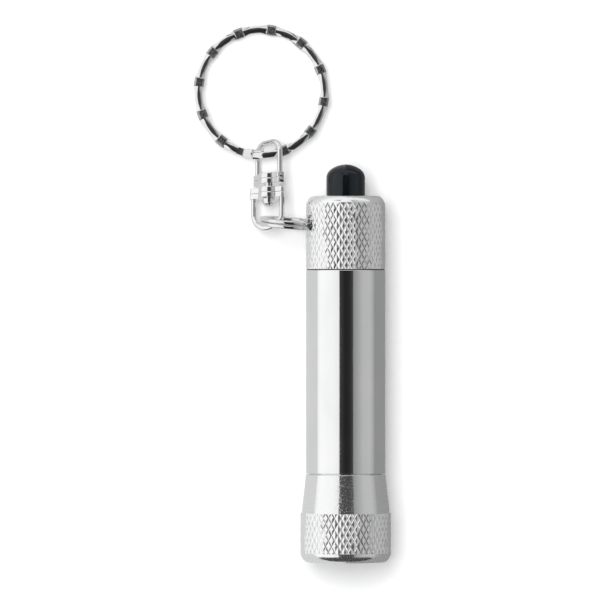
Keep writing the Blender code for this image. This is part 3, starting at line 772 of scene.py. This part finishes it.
def make_tail_cap():
    """The knurled cap with its bores and flared passage, its plain rounded shoulder, and a thin dark ring
    in the seam as painted shade for the gap's shadow.
    """
    blank_r = TUBE_R + BLANK_COVER
    bar = knurled_bar("tail_cap_piece", blank_r, CAP_START - 1, CAP_END + 1, CAP_KNURL_AROUND, 11)
    front = CAP_START + SEAM
    rounding = [
        (CAP_END - CAP_ROUND * (1 - sin(a)), CAP_FACE_R + (TUBE_R - CAP_FACE_R) * cos(a))
        for a in turns(2.5, 37)
    ]
    outline = [
        (front, TUBE_R - CAP_EDGE), (front, THREAD_BORE_R),
        (CAP_BORE_END, THREAD_BORE_R), (CAP_BORE_END, SWITCH_BORE_R),
        (SHOULDER_SEAT, SWITCH_BORE_R), (SHOULDER_SEAT, SHOULDER_SEAT_R),
        *[(t, radius + BLANK_COVER) for t, radius in rounding if t < CAP_KNURL_END][::-1],
        (front + CAP_EDGE, TUBE_R + 0.03),
    ]
    form = lathe("cap_form", outline, None)
    boolean(bar, form, "INTERSECT")
    boolean(bar, ring_passage(), "DIFFERENCE")
    coat(bar, KNURL)
    give(shade(bar, KNURL_SHARP), "cap", "knurled_body", "tail_cap")
    # Painted shade: a thin dark rubber ring fills the seam between cap and tube, standing in for the shadow
    # in the gap.
    seam_shade = turned("cap_seam_shade", [
        (CAP_START + 0.01, THREAD_BORE_R, 0.0), (CAP_START + 0.01, TUBE_R - CAP_EDGE, 0.05),
        (front + 0.02, TUBE_R - CAP_EDGE, 0.05), (front + 0.02, THREAD_BORE_R, 0.0),
    ], RUBBER)
    give(shade(seam_shade), "cap", "seal_rubber", "tail_cap")
    outline = [
        (SHOULDER_START, SHOULDER_R), (SHOULDER_START, BUTTON_HOLE_R),
        (CAP_END - CAP_EDGE, BUTTON_HOLE_R), (CAP_END, BUTTON_HOLE_R + CAP_EDGE),
        *[(t, radius - 0.04) for t, radius in rounding if t > SHOULDER_START][::-1],
    ]
    shoulder = lathe("cap_shoulder", outline, SHOULDER)
    give(shade(shoulder), "cap", "knurled_body", "tail_cap")


def make_head():
    """The head: a knurled band behind a rounded satin bezel, and the satin taper."""
    band = knurled_bar("head_knurl_band", HEAD_R, -1.0, HEAD_KNURL_END + 1, HEAD_KNURL_AROUND, 23)
    form = turned("head_form", [
        (HEAD_ROUND, HEAD_BORE_R, 0.0), (BAND_LAP, HEAD_BORE_R, 0.0),
        (BAND_LAP, BAND_LAP_R, 0.0), (HEAD_KNURL_END, BAND_LAP_R, 0.0),
        (HEAD_KNURL_END, HEAD_R + BLANK_COVER, 0.12), (HEAD_ROUND, HEAD_R + BLANK_COVER, 0.08),
    ], None, arc_steps=5)
    boolean(band, form, "INTERSECT")
    coat(band, KNURL)
    give(shade(band, KNURL_SHARP), "head", "knurled_body", "head_shell")
    front_arc = [
        (
            HEAD_ROUND * (1 - sin(a) ** HEAD_ROUND_POWER),
            HEAD_FACE_R + (HEAD_R - HEAD_FACE_R) * max(cos(a), 0.0) ** HEAD_ROUND_POWER,
        )
        for a in turns(3.75, 25)
    ]
    outline = [
        *front_arc,
        *rounded([
            (0.0, HEAD_WINDOW_R, 0.12), (HEAD_LIP, HEAD_WINDOW_R, 0.0),
            (HEAD_LIP, HEAD_BORE_R, 0.0), (HEAD_ROUND, HEAD_BORE_R, 0.0),
        ]),
    ]
    bezel = lathe("head_bezel", outline, SATIN)
    give(shade(bezel), "head", "polished_body", "head_shell")
    taper = turned("head_taper", [
        (HEAD_END, THREAD_BORE_R, 0.1),
        (HEAD_END, TUBE_R + 0.02, 0.13),
        (HEAD_KNURL_END - 0.05, TAPER_R, 0.0),
        (TAPER_LAP, TAPER_R - 0.1, 0.0), (TAPER_LAP, HEAD_BORE_R, 0.0),
        (HEAD_BORE_END, HEAD_BORE_R, 0.0), (HEAD_BORE_END, THREAD_BORE_R, 0.0),
    ], SATIN)
    give(shade(taper), "head", "polished_body", "head_shell")


def thread_cut(station, radius, angle):
    """How far the thread's valley lies below the neck's radius at a point of the tube."""
    if abs(radius - THREAD_R) > 0.001:
        return 0.0
    for low, high in (FRONT_THREAD, TAIL_THREAD):
        if low <= station <= high:
            fade = ease((station - low) / THREAD_FADE) * ease((high - station) / THREAD_FADE)
            wave = 0.5 - 0.5 * cos(2 * pi * (station / THREAD_PITCH) - angle)
            return THREAD_DEPTH * fade * wave ** THREAD_SHARP
    return 0.0


def make_tube():
    """The polished tube, with real threads and sealing grooves on its two necks."""

    def thread(low, high):
        return [(low + THREAD_STEP * i, THREAD_R) for i in range(round((high - low) / THREAD_STEP) + 1)]

    def groove(middle):
        low, high = middle - GROOVE_HALF, middle + GROOVE_HALF
        return rounded([
            (low, THREAD_R, 0.06), (low, GROOVE_R, 0.08), (high, GROOVE_R, 0.08), (high, THREAD_R, 0.06),
        ])

    # The corners in mid tube only steer the fillets at the necks' ends, and are dropped
    start = rounded([
        (NECK_START, BORE_R, 0.1), (NECK_START, THREAD_R, 0.2), (30, THREAD_R, 0), (30, BORE_R, 0),
    ])[:-2]
    end = rounded([
        (40, BORE_R, 0), (40, THREAD_R, 0), (NECK_END, THREAD_R, 0.2), (NECK_END, BORE_R, 0.1),
    ])[2:]
    body = rounded([
        (HEAD_END + SEAM, THREAD_R, 0.05), (HEAD_END + SEAM, TUBE_R, 0.14),
        (CAP_START, TUBE_R, 0.14), (CAP_START, THREAD_R, 0.05),
    ])
    outline = [
        *start, *thread(*FRONT_THREAD), *groove(FRONT_SEAL), *body,
        *groove(TAIL_SEAL), *thread(*TAIL_THREAD), *end,
    ]
    tube = piece("tube", turned_shape(outline, STEPS, thread_cut), TORCH, POLISHED)
    give(shade(tube), "barrel", "polished_body", "barrel_tube")


def make_seals():
    """The rubber rings in the necks' grooves."""
    for name, station in (("head_o_ring", FRONT_SEAL), ("tail_o_ring", TAIL_SEAL)):
        section = [(station + SEAL_WIRE_R * sin(a), SEAL_R + SEAL_WIRE_R * cos(a)) for a in turns(22.5, 16)]
        seal = lathe(name + "_seal", section, RUBBER, TORCH, 96)
        give(shade(seal, 60), "barrel", "seal_rubber", name)


def make_button():
    """The glossy button: straight sides, a soft shoulder and a low dome."""
    half = acos((BUTTON_DOME_R - BUTTON_RISE) / BUTTON_DOME_R)
    dome = [
        (BUTTON_END - BUTTON_DOME_R * (1 - cos(a)), BUTTON_DOME_R * sin(a))
        for a in (half * i / 12 for i in range(13))
    ]
    edge_station, edge_r = dome[-1]
    lean = pi / 2 - half
    size = (BUTTON_R - edge_r) / (1 - sin(half))
    centre = (edge_station - size * cos(half), BUTTON_R - size)
    shoulder = [
        (centre[0] + size * sin(a), centre[1] + size * cos(a))
        for a in (lean * (1 - i / 8) for i in range(1, 9))
    ]
    outline = [
        *dome, *shoulder,
        (FLANGE_END, BUTTON_R), (FLANGE_END, FLANGE_R), (FLANGE_START, FLANGE_R), (FLANGE_START, 0.0),
    ]
    button = lathe("button", outline, BLACK, TORCH, 128)
    give(shade(button), "button", "black_button", "push_button")


def make_optics():
    """The window, the mirrored cup and the light-emitting diode that show from the front."""
    lens = turned("window", [
        (WINDOW_FRONT, 0.0, 0.0), (WINDOW_FRONT, WINDOW_R, 0.25), (RIM_FRONT, WINDOW_R, 0.0),
        (RIM_FRONT, RIM_R, 0.05), (RIM_BACK, RIM_R, 0.05), (RIM_BACK, 0.0, 0.0),
    ], LENS, steps=128)
    give(shade(lens), "head", "lens_glass", "lens_window")
    cup = [
        (CUP_FRONT + CUP_DEEP * (CUP_R**2 - r**2) / (CUP_R**2 - CUP_HOLE_R**2), r)
        for r in (CUP_R - (CUP_R - CUP_HOLE_R) * i / 20 for i in range(21))
    ]
    outline = [
        (CUP_FRONT, CUP_RIM_R), *cup,
        (CUP_BACK, CUP_HOLE_R), (CUP_BACK, CUP_BACK_R), (CUP_RIM_END, CUP_RIM_R),
    ]
    mirror = lathe("mirror_cup", outline, MIRROR, TORCH, 128)
    give(shade(mirror), "head", "reflector_mirror", "reflector")
    outline = [
        *[(DIODE_SHOULDER - DIODE_DOME * sin(a), DIODE_R * cos(a)) for a in turns(7.5, 13)],
        (DIODE_BACK, 0.0), (DIODE_BACK, DIODE_COLLAR_R),
        (DIODE_COLLAR, DIODE_COLLAR_R), (DIODE_COLLAR, DIODE_R),
    ]
    diode = lathe("diode", outline, EPOXY, TORCH, 96)
    give(shade(diode), "led_module", "led_epoxy", "led")


# Rings


def split_ring_shape(radius, path, section):
    """Wire of a changing section wound about local Z: path gives (angle, height), section the points."""
    rows = []
    for angle, height in path:
        turn = radians(angle)
        row = []
        for across, up in section(angle):
            reach = radius + across
            row.append((reach * cos(turn), reach * sin(turn), height + up))
        rows.append(row)
    return grid_shape(rows, False)


def winding(jog_start, jog, pitch, step):
    """Two turns with one climb: a list of (angle, height)."""
    first = jog_start + jog + WIRE_END_GAP
    last = jog_start + 720.0 - WIRE_END_GAP
    climb = jog_start + 360.0
    count = round((last - first) / step)
    angles = [first + (last - first) * i / count for i in range(count + 1)]
    return [(a, pitch * (ease((a - climb) / jog) - 0.5)) for a in angles]


def make_small_ring():
    """The small split ring: plain flat wire with rounded edges."""
    pivot = Vector(JOINTS["lug_ring_swing"]["pos_m"])
    hinge = Matrix.Translation(pivot) @ turn_about("Z", SMALL_RING_TURN)
    out = SMALL_RING_OUT - (AXIS_X - JOINTS["lug_ring_swing"]["pos_m"][0]) / MM
    centre = Matrix.Translation(Vector((-out, 0, 0)) * MM)
    placed = hinge @ centre @ turn_about("X", 90 + SMALL_RING_LEAN)
    half_wide = SMALL_RING_WIDE / 2
    half_coil = SMALL_COIL / 2
    outline = [
        (half_wide * copysign(abs(cos(a)) ** SMALL_SQUARE, cos(a)),
         half_coil * copysign(abs(sin(a)) ** SMALL_SQUARE, sin(a)))
        for a in (radians(360 / RING_CORNERS * (i + 0.5)) for i in range(RING_CORNERS))
    ]
    path = winding(SMALL_JOG_START, SMALL_JOG, SMALL_PITCH, 3.0)
    shape = split_ring_shape(SMALL_RING_R, path, lambda angle: outline)
    ring = piece("small_ring", shape, placed, RING_PLATE)
    give(shade(ring, 50), "lug_ring", "ring_plating", "small_split_ring")


def node_share(angle):
    """How much the key ring is a cut block at an angle, and how far off the nearest block's middle is."""
    away = abs((angle - KEY_NODE_FIRST + KEY_NODE_STEP / 2) % KEY_NODE_STEP - KEY_NODE_STEP / 2)
    return 1.0 - ease((away - KEY_NODE_HALF) / KEY_NODE_RAMP), away


def key_section(angle):
    """The wire's section: a flat-topped block at a node, and a waisted crown, sharper near a node."""
    climb = KEY_JOG_START + 360.0
    past_jog = climb - KEY_PLAIN_MARGIN - angle if angle < climb else angle - climb - KEY_JOG
    share, away = node_share(angle)
    share *= ease(past_jog / KEY_PLAIN_RAMP)
    flare = ease((away - KEY_NODE_HALF) / KEY_FLARE_TURN)
    waist = (KEY_FLARE_WIDE + (KEY_WAIST_WIDE - KEY_FLARE_WIDE) * flare) / 2
    half = waist + (KEY_NODE_WIDE / 2 - waist) * share
    crown = KEY_SHARP_CROWN + (KEY_FLAT_CROWN - KEY_SHARP_CROWN) * flare
    top = KEY_COIL / 2
    side = 1 if angle > climb + KEY_JOG / 2 else -1
    points = []
    for i in range(17):
        across = -1 + 2 * i / 16
        block = KEY_NODE_BEVEL * ease((abs(across) - 0.5) / 0.5) ** 1.5
        drop = (crown * across**2 + KEY_WAIST_DROP) * (1 - share) + block * share
        points.append((across * half, (top - drop) * side))
    inner = -top * side
    points += [(half * across, inner) for across in (0.96, 0.5, 0.0, -0.5, -0.96)]
    return points if side > 0 else points[::-1]


def key_path():
    """Angles of the key ring's wire, closer together at the edges of each block."""
    path = winding(KEY_JOG_START, KEY_JOG, KEY_PITCH, KEY_FINE_STEP)
    kept = [path[0]]
    for angle, height in path[1:-1]:
        away = node_share(angle)[1]
        spacing = KEY_FINE_STEP if abs(away - KEY_NODE_HALF) < KEY_FINE_REACH else KEY_STEP
        if angle - kept[-1][0] >= spacing - 0.01:
            kept.append((angle, height))
    return kept + [path[-1]]


def make_key_ring():
    """The large split ring: diamond-cut blocks with waisted, crowned wire between them."""
    pivot = Vector(JOINTS["key_ring_swing"]["pos_m"])
    tangent = Vector(JOINTS["key_ring_swing"]["axis"]).normalized()
    normal = Vector((1, 0, 0)).cross(tangent).normalized()
    centre = pivot + normal.cross(tangent) * KEY_RING_R * MM
    level_x = Vector((1, 0, 0))
    level_y = normal.cross(level_x)
    placed = Matrix.Translation(centre) @ Matrix((level_x, level_y, normal)).transposed().to_4x4()
    shape = split_ring_shape(KEY_RING_R, key_path(), key_section)
    ring = piece("key_ring_wire", shape, placed, RING_PLATE)
    ring.data.materials.append(RING_CUT)
    for face in ring.data.polygons:
        angle = degrees(atan2(face.center.y, face.center.x)) % 360
        in_jog = abs(angle - KEY_JOG_START - KEY_JOG / 2) < KEY_JOG / 2 + KEY_UNCUT_MARGIN
        if node_share(angle)[0] > 0.9 and not in_jog:
            face.material_index = 1
    give(shade(ring, 26), "key_ring", "ring_plating", "key_ring")


# Swivel


def swivel_frame(lean):
    """At the lower loop's bend: Z along the swivel, X across the lower loop, turned by lean about Z."""
    across = Vector(JOINTS["link_swing"]["axis"]).normalized()
    along = Vector(JOINTS["swivel_spin"]["axis"]).normalized()
    third = along.cross(across)
    placed = Matrix.Translation(Vector(JOINTS["link_swing"]["pos_m"]))
    level = placed @ Matrix((across, third, along)).transposed().to_4x4()
    return level @ turn_about("Z", lean)


def bend(across, along, size, first, last, count):
    """Points of an arc: its centre, its radius and two angles."""
    angles = [radians(first + (last - first) * i / (count - 1)) for i in range(count)]
    return [(across + size * cos(a), along + size * sin(a)) for a in angles]


def bail_wire(name, path, placed):
    """Round wire along a flat path of (across, along) points."""
    points = [Vector(point) for point in path]
    rows = []
    for i, here in enumerate(points):
        ahead = points[min(i + 1, len(points) - 1)]
        behind = points[max(i - 1, 0)]
        tangent = (ahead - behind).normalized()
        normal = Vector((-tangent.y, tangent.x))
        row = []
        for way in (2 * pi * corner / WIRE_STEPS for corner in range(WIRE_STEPS)):
            reach = WIRE_R * cos(way)
            row.append((here.x + normal.x * reach, WIRE_R * sin(way), here.y + normal.y * reach))
        rows.append(row)
    shape = grid_shape(rows, False)
    return piece(name, shape, placed, CHROME_WIRE)


def strap(name, left, right, low, high, eye_r, placed):
    """One flattened wire end: a bar from leg to leg, round about the rivet, with rolled edges."""
    end = WIRE_R + STRAP_PROUD
    corner = STRAP_CORNER
    half = STRAP_HALF - corner
    start = degrees(asin(STRAP_HALF / eye_r))
    outline = [
        *bend(0, 0, eye_r, start, 180 - start, 40),
        *bend(-left - end + corner, half, corner, 90, 180, 7),
        *bend(-left - end + corner, -half, corner, 180, 270, 7),
        *bend(0, 0, eye_r, 180 + start, 360 - start, 40),
        *bend(right + end - corner, -half, corner, -90, 0, 7),
        *bend(right + end - corner, half, corner, 0, 90, 7),
    ]
    shape = bmesh.new()
    rims = [
        [shape.verts.new(Vector((across, depth, along)) * MM) for across, depth in outline]
        for along in (low, high)
    ]
    for i, point in enumerate(rims[0]):
        shape.faces.new((rims[0][i - 1], point, rims[1][i], rims[1][i - 1]))
    for rim in rims:
        shape.faces.new(rim)
    bmesh.ops.recalc_face_normals(shape, faces=shape.faces)
    edges = [e for e in shape.edges if abs(e.verts[0].co.z - e.verts[1].co.z) < 1e-7]
    bevel(shape, edges, STRAP_EDGE, 3)
    return piece(name, shape, placed, CHROME_WIRE)


def make_bail(name, path, left, right, eye, lean, bore_r, bore_low, bore_high):
    """A wire bail whose two flattened ends lap round the rivet."""
    placed = swivel_frame(lean)
    bail = bail_wire(name, path, placed)
    half = EYE_THICK / 2
    near = strap(name + "_near", left, right, eye - half, eye - STRAP_GAP, EYE_R, placed)
    boolean(bail, near, "UNION")
    left, right = left - FAR_INSET, right - FAR_INSET
    far = strap(name + "_far", left, right, eye + STRAP_GAP, eye + half, FAR_EYE_R, placed)
    boolean(bail, far, "UNION")
    bore = turned("bore", [
        (bore_low, 0.0, 0.0), (bore_low, bore_r, 0.0), (bore_high, bore_r, 0.0), (bore_high, 0.0, 0.0),
    ], None, placed, 48)
    boolean(bail, bore, "DIFFERENCE")
    return shade(bail, 30), placed


def lower_path():
    """The lower bail's wire: down the high leg, along a slanting bottom and up the low leg."""
    slant = radians(LOWER_SLANT)
    left_centre = LOWER_LEFT_CORNER - LOWER_LEFT
    right_centre = LOWER_RIGHT - LOWER_RIGHT_CORNER
    step = right_centre - left_centre - (LOWER_LEFT_CORNER - LOWER_RIGHT_CORNER) * sin(slant)
    fall = (LOWER_LEFT_CORNER - LOWER_RIGHT_CORNER) * cos(slant)
    right_up = LOWER_LEFT_CORNER - fall + step * tan(slant)
    top = LOWER_EYE + EYE_THICK / 2 - WIRE_LAP
    return [
        *[(LOWER_RIGHT, top + (right_up - top) * i / 6) for i in range(6)],
        *bend(right_centre, right_up, LOWER_RIGHT_CORNER, 0, LOWER_SLANT - 90, 12),
        *bend(left_centre, LOWER_LEFT_CORNER, LOWER_LEFT_CORNER, LOWER_SLANT - 90, -180, 22),
        *[(-LOWER_LEFT, LOWER_LEFT_CORNER + (top - LOWER_LEFT_CORNER) * i / 4) for i in range(1, 5)],
    ]


def upper_path():
    """The upper bail's wire: up one leg, round the end and down the other."""
    centre = UPPER_HALF - UPPER_CORNER
    low = UPPER_EYE - EYE_THICK / 2 + WIRE_LAP
    high = UPPER_BEND - UPPER_CORNER
    return [
        *[(UPPER_HALF, low + (high - low) * i / 6) for i in range(6)],
        *bend(centre, high, UPPER_CORNER, 0, 90, 16),
        *bend(-centre, high, UPPER_CORNER, 90, 180, 16),
        *[(-UPPER_HALF, high + (low - high) * i / 6) for i in range(1, 7)],
    ]


def make_swivel():
    """Two wire bails on one rivet: the rivet turns in the lower eye and is fixed in the upper one."""
    blind = UPPER_EYE + EYE_THICK / 2 - BLIND_WALL
    lower, _ = make_bail(
        "lower_bail", lower_path(), LOWER_LEFT, LOWER_RIGHT, LOWER_EYE, 0.0,
        EYE_HOLE_R, LOWER_EYE - EYE_THICK, LOWER_EYE + EYE_THICK,
    )
    give(lower, "lower_link", "chromed_wire", "swivel_lower_loop")
    upper, placed = make_bail(
        "upper_bail", upper_path(), UPPER_HALF, UPPER_HALF, UPPER_EYE, UPPER_TURN,
        SHANK_R + SHANK_FIT, UPPER_EYE - EYE_THICK, blind,
    )
    give(upper, "upper_link", "chromed_wire", "swivel_upper_loop")
    head_top = LOWER_EYE - EYE_THICK / 2 - RUN_GAP
    dome = [
        (head_top - RIVET_RIM - (RIVET_HEAD_TALL - RIVET_RIM) * sin(a), RIVET_HEAD_R * cos(a))
        for a in turns(7.5, 13)
    ]
    outline = [
        *dome, (blind - RUN_GAP, 0.0), (blind - RUN_GAP, SHANK_R), (head_top, SHANK_R),
        (head_top, RIVET_HEAD_R - RIVET_EDGE), (head_top - RIVET_EDGE, RIVET_HEAD_R),
    ]
    rivet = lathe("rivet", outline, CHROME_WIRE, placed, 72)
    give(shade(rivet), "upper_link", "chromed_wire", "swivel_rivet")


def make_button_spring():
    """The button's return spring: a coil that the button presses towards the switch."""
    low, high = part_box("button_spring")
    coil_r = (high.x - low.x) / 2 / MM - SPRING_WIRE_R
    tall = (high.y - low.y) / MM - 2 * SPRING_WIRE_R
    count = round(SPRING_TURNS * SPRING_STEPS)
    rows = []
    for i in range(count + 1):
        turn = 2 * pi * SPRING_TURNS * i / count
        height = SPRING_WIRE_R + tall * ease(i / count)
        row = []
        for corner in range(SPRING_CORNERS):
            way = radians(360 / SPRING_CORNERS * corner)
            reach = coil_r + SPRING_WIRE_R * cos(way)
            up = height + SPRING_WIRE_R * sin(way)
            row.append((reach * cos(turn), reach * sin(turn), up))
        rows.append(row)
    shape = grid_shape(rows, False)
    placed = Matrix.Translation((AXIS_X, low.y, AXIS_Z)) @ Matrix.Rotation(-pi / 2, 4, "X")
    spring = piece("button_coil", shape, placed, STEEL)
    give(shade(spring, 50), "cap", "spring_steel", "button_spring")
    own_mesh(spring)


def finish_hidden():
    """Hidden pieces keep their CAD shape and get a finish."""
    for finish, slot, names in (
        (RUBBER, "seal_rubber", ["lens_gasket"]),
        (BOARD, "board_green", ["led_board"]),
        (BRASS, "contact_brass", ["led_contact", "switch_contact", "switch_retainer"]),
        (CHIP, "component_black", ["driver_chip", "driver_inductor"]),
        (JACKET, "cell_jacket", ["aaa_cell"]),
        (STEEL, "spring_steel", ["tail_spring"]),
        (WHITE_PLASTIC, "white_plastic", ["switch_body", "switch_plunger"]),
    ):
        for name in names:
            obj = frame["nodes"][name]
            for holder in obj.material_slots:
                holder.material = finish


# Studio


def floor_material():
    """White paper with a faint fibre."""
    made, tree, shader = paint("paper_floor", (0.93, 0.93, 0.93), 0.0, 0.85)
    fibre = noise(tree, 0.7, 5.0)
    tint(tree, shader, fibre, (0.925, 0.925, 0.925), (0.945, 0.945, 0.945))
    relief(tree, shader, fibre, 0.01)
    return made


def make_floor():
    """The sheet that the torch lies on."""
    shape = bmesh.new()
    bmesh.ops.create_grid(shape, x_segments=4, y_segments=4, size=3.0)
    sheet = piece("floor", shape, Matrix.Identity(4), floor_material())
    sheet.visible_glossy = False


def glow(name, stops):
    """A card's own light, graded along its width: stops of (place, radiance)."""
    made = bpy.data.materials.new(name)
    made.use_nodes = True
    tree = made.node_tree
    tree.nodes.clear()
    light = node(tree, "Emission", {"Strength": GLOW})
    tree.links.new(light.outputs["Emission"], node(tree, "OutputMaterial").inputs["Surface"])
    split = node(tree, "SeparateXYZ")
    ramp = node(tree, "ValToRGB")
    tree.links.new(node(tree, "TexCoord").outputs["Generated"], split.inputs["Vector"])
    tree.links.new(split.outputs["X"], ramp.inputs["Fac"])
    tree.links.new(ramp.outputs["Color"], light.inputs["Color"])
    elements = ramp.color_ramp.elements
    while len(elements) < len(stops):
        elements.new(0.5)
    for element, (where, radiance) in zip(elements, stops):
        element.position = where
        element.color = (*(radiance / GLOW,) * 3, 1.0)
    return made


def card(name, corners, stops):
    """A reflection card with corners in metres: only mirror surfaces see it."""
    shape = bmesh.new()
    shape.faces.new([shape.verts.new(corner) for corner in corners])
    mesh = bpy.data.meshes.new(name)
    shape.to_mesh(mesh)
    shape.free()
    made = link(name, mesh, Matrix.Identity(4), glow(name, stops))
    made.visible_camera = False
    made.visible_diffuse = False
    made.visible_transmission = False
    made.visible_shadow = False


def long_card(name, low, high, reach, stops):
    """A card along the torch between two (x, z) edges."""
    near, far = reach
    corners = [
        (low[0], near, low[1]), (high[0], near, high[1]), (high[0], far, high[1]), (low[0], far, low[1]),
    ]
    card(name, corners, stops)


def end_card(name, y, stops):
    """An upright card across the torch."""
    edges = ((-END_HALF, 0.0), (END_HALF, 0.0), (END_HALF, CARD_TOP), (-END_HALF, CARD_TOP))
    card(name, [(x, y, z) for x, z in edges], stops)


def make_lights():
    """Even light from all round, one soft panel for the shadow, and the cards that the metal mirrors."""
    world = bpy.data.worlds.new("studio")
    bpy.context.scene.world = world
    world.use_nodes = True
    back = world.node_tree.nodes["Background"]
    back.inputs["Color"].default_value = (0.95, 0.955, 0.96, 1.0)
    back.inputs["Strength"].default_value = AMBIENT
    world.cycles_visibility.glossy = False
    data = bpy.data.lights.new("key_panel", "AREA")
    data.shape = "RECTANGLE"
    data.size, data.size_y = KEY_PANEL_SIZE
    data.energy = KEY_WATTS
    lamp = link("key_panel", data, Matrix.Identity(4), None)
    lamp.location = KEY_PANEL_AT
    lamp.rotation_euler = (*(radians(turn) for turn in KEY_PANEL_TURN), 0.0)
    lamp.visible_camera = False
    lamp.visible_glossy = False
    left_out, left_top = (-CARD_OUT, 0.0), (GAP_LEFT, CARD_TOP)
    right_out, right_top = (CARD_OUT, 0.0), (GAP_RIGHT, CARD_TOP)
    middle = (AXIS_X, 0.0)
    side = (-CARD_HALF, CARD_HALF)
    whole = (-FAR_END, FAR_END)
    for name, low, high, reach, stops in (
        ("left_card", left_out, left_top, side, [(0.0, 0.93), (0.35, 1.05), (0.8, 1.0), (1.0, 0.92)]),
        ("right_card", right_top, right_out, side, [(0.0, 0.27), (0.3, 0.5), (0.6, 0.52), (1.0, 0.37)]),
        (
            "gap_card", left_top, right_top, (-FAR_END, GAP_MIDDLE),
            [(0.0, 0.05), (0.4, 0.018), (0.7, 0.022), (1.0, 0.06)],
        ),
        ("ring_card", left_top, right_top, (GAP_MIDDLE, GAP_END), [(0.0, 0.07), (0.5, 0.05), (1.0, 0.075)]),
        ("tail_card", left_top, right_top, (GAP_END, FAR_END), [(0.0, 0.95), (1.0, 0.8)]),
        ("left_floor_card", left_out, middle, whole, [(0.0, 0.62), (1.0, 0.68)]),
        ("right_floor_card", middle, right_out, whole, [(0.0, 0.3), (1.0, 0.33)]),
    ):
        long_card(name, low, high, reach, stops)
    end_card("back_card", FAR_END, [(0.0, 0.95), (1.0, 0.8)])
    end_card("front_card", FRONT_END, [(0.18, 0.85), (0.24, 0.03), (0.76, 0.03), (0.82, 0.5)])
    edges = (
        (GAP_LEFT, OPENING_NEAR), (-CARD_OUT, OPENING_FAR),
        (CARD_OUT, OPENING_FAR), (GAP_RIGHT, OPENING_NEAR),
    )
    card("front_gap_card", [(x, y, OPENING_Z) for x, y in edges], [(0.0, 0.03), (1.0, 0.03)])


def make_camera():
    """A long lens straight above the torch."""
    data = bpy.data.cameras.new("camera")
    data.lens = CAMERA_LENS
    data.sensor_width = SENSOR
    data.clip_start = 0.05
    data.clip_end = 20.0
    camera = link("camera", data, Matrix.Identity(4), None)
    distance = CAMERA_FIELD * CAMERA_LENS / SENSOR
    camera.location = (*CAMERA_AT, AXIS_Z + distance)
    camera.rotation_euler = (0.0, 0.0, 0.0)
    bpy.context.scene.camera = camera
    bpy.context.scene.view_settings.view_transform = "Standard"


make_tube()
make_head()
make_tail_cap()
make_seals()
make_button()
make_optics()
make_small_ring()
make_key_ring()
make_swivel()
make_button_spring()
finish_hidden()
make_floor()
make_lights()
make_camera()
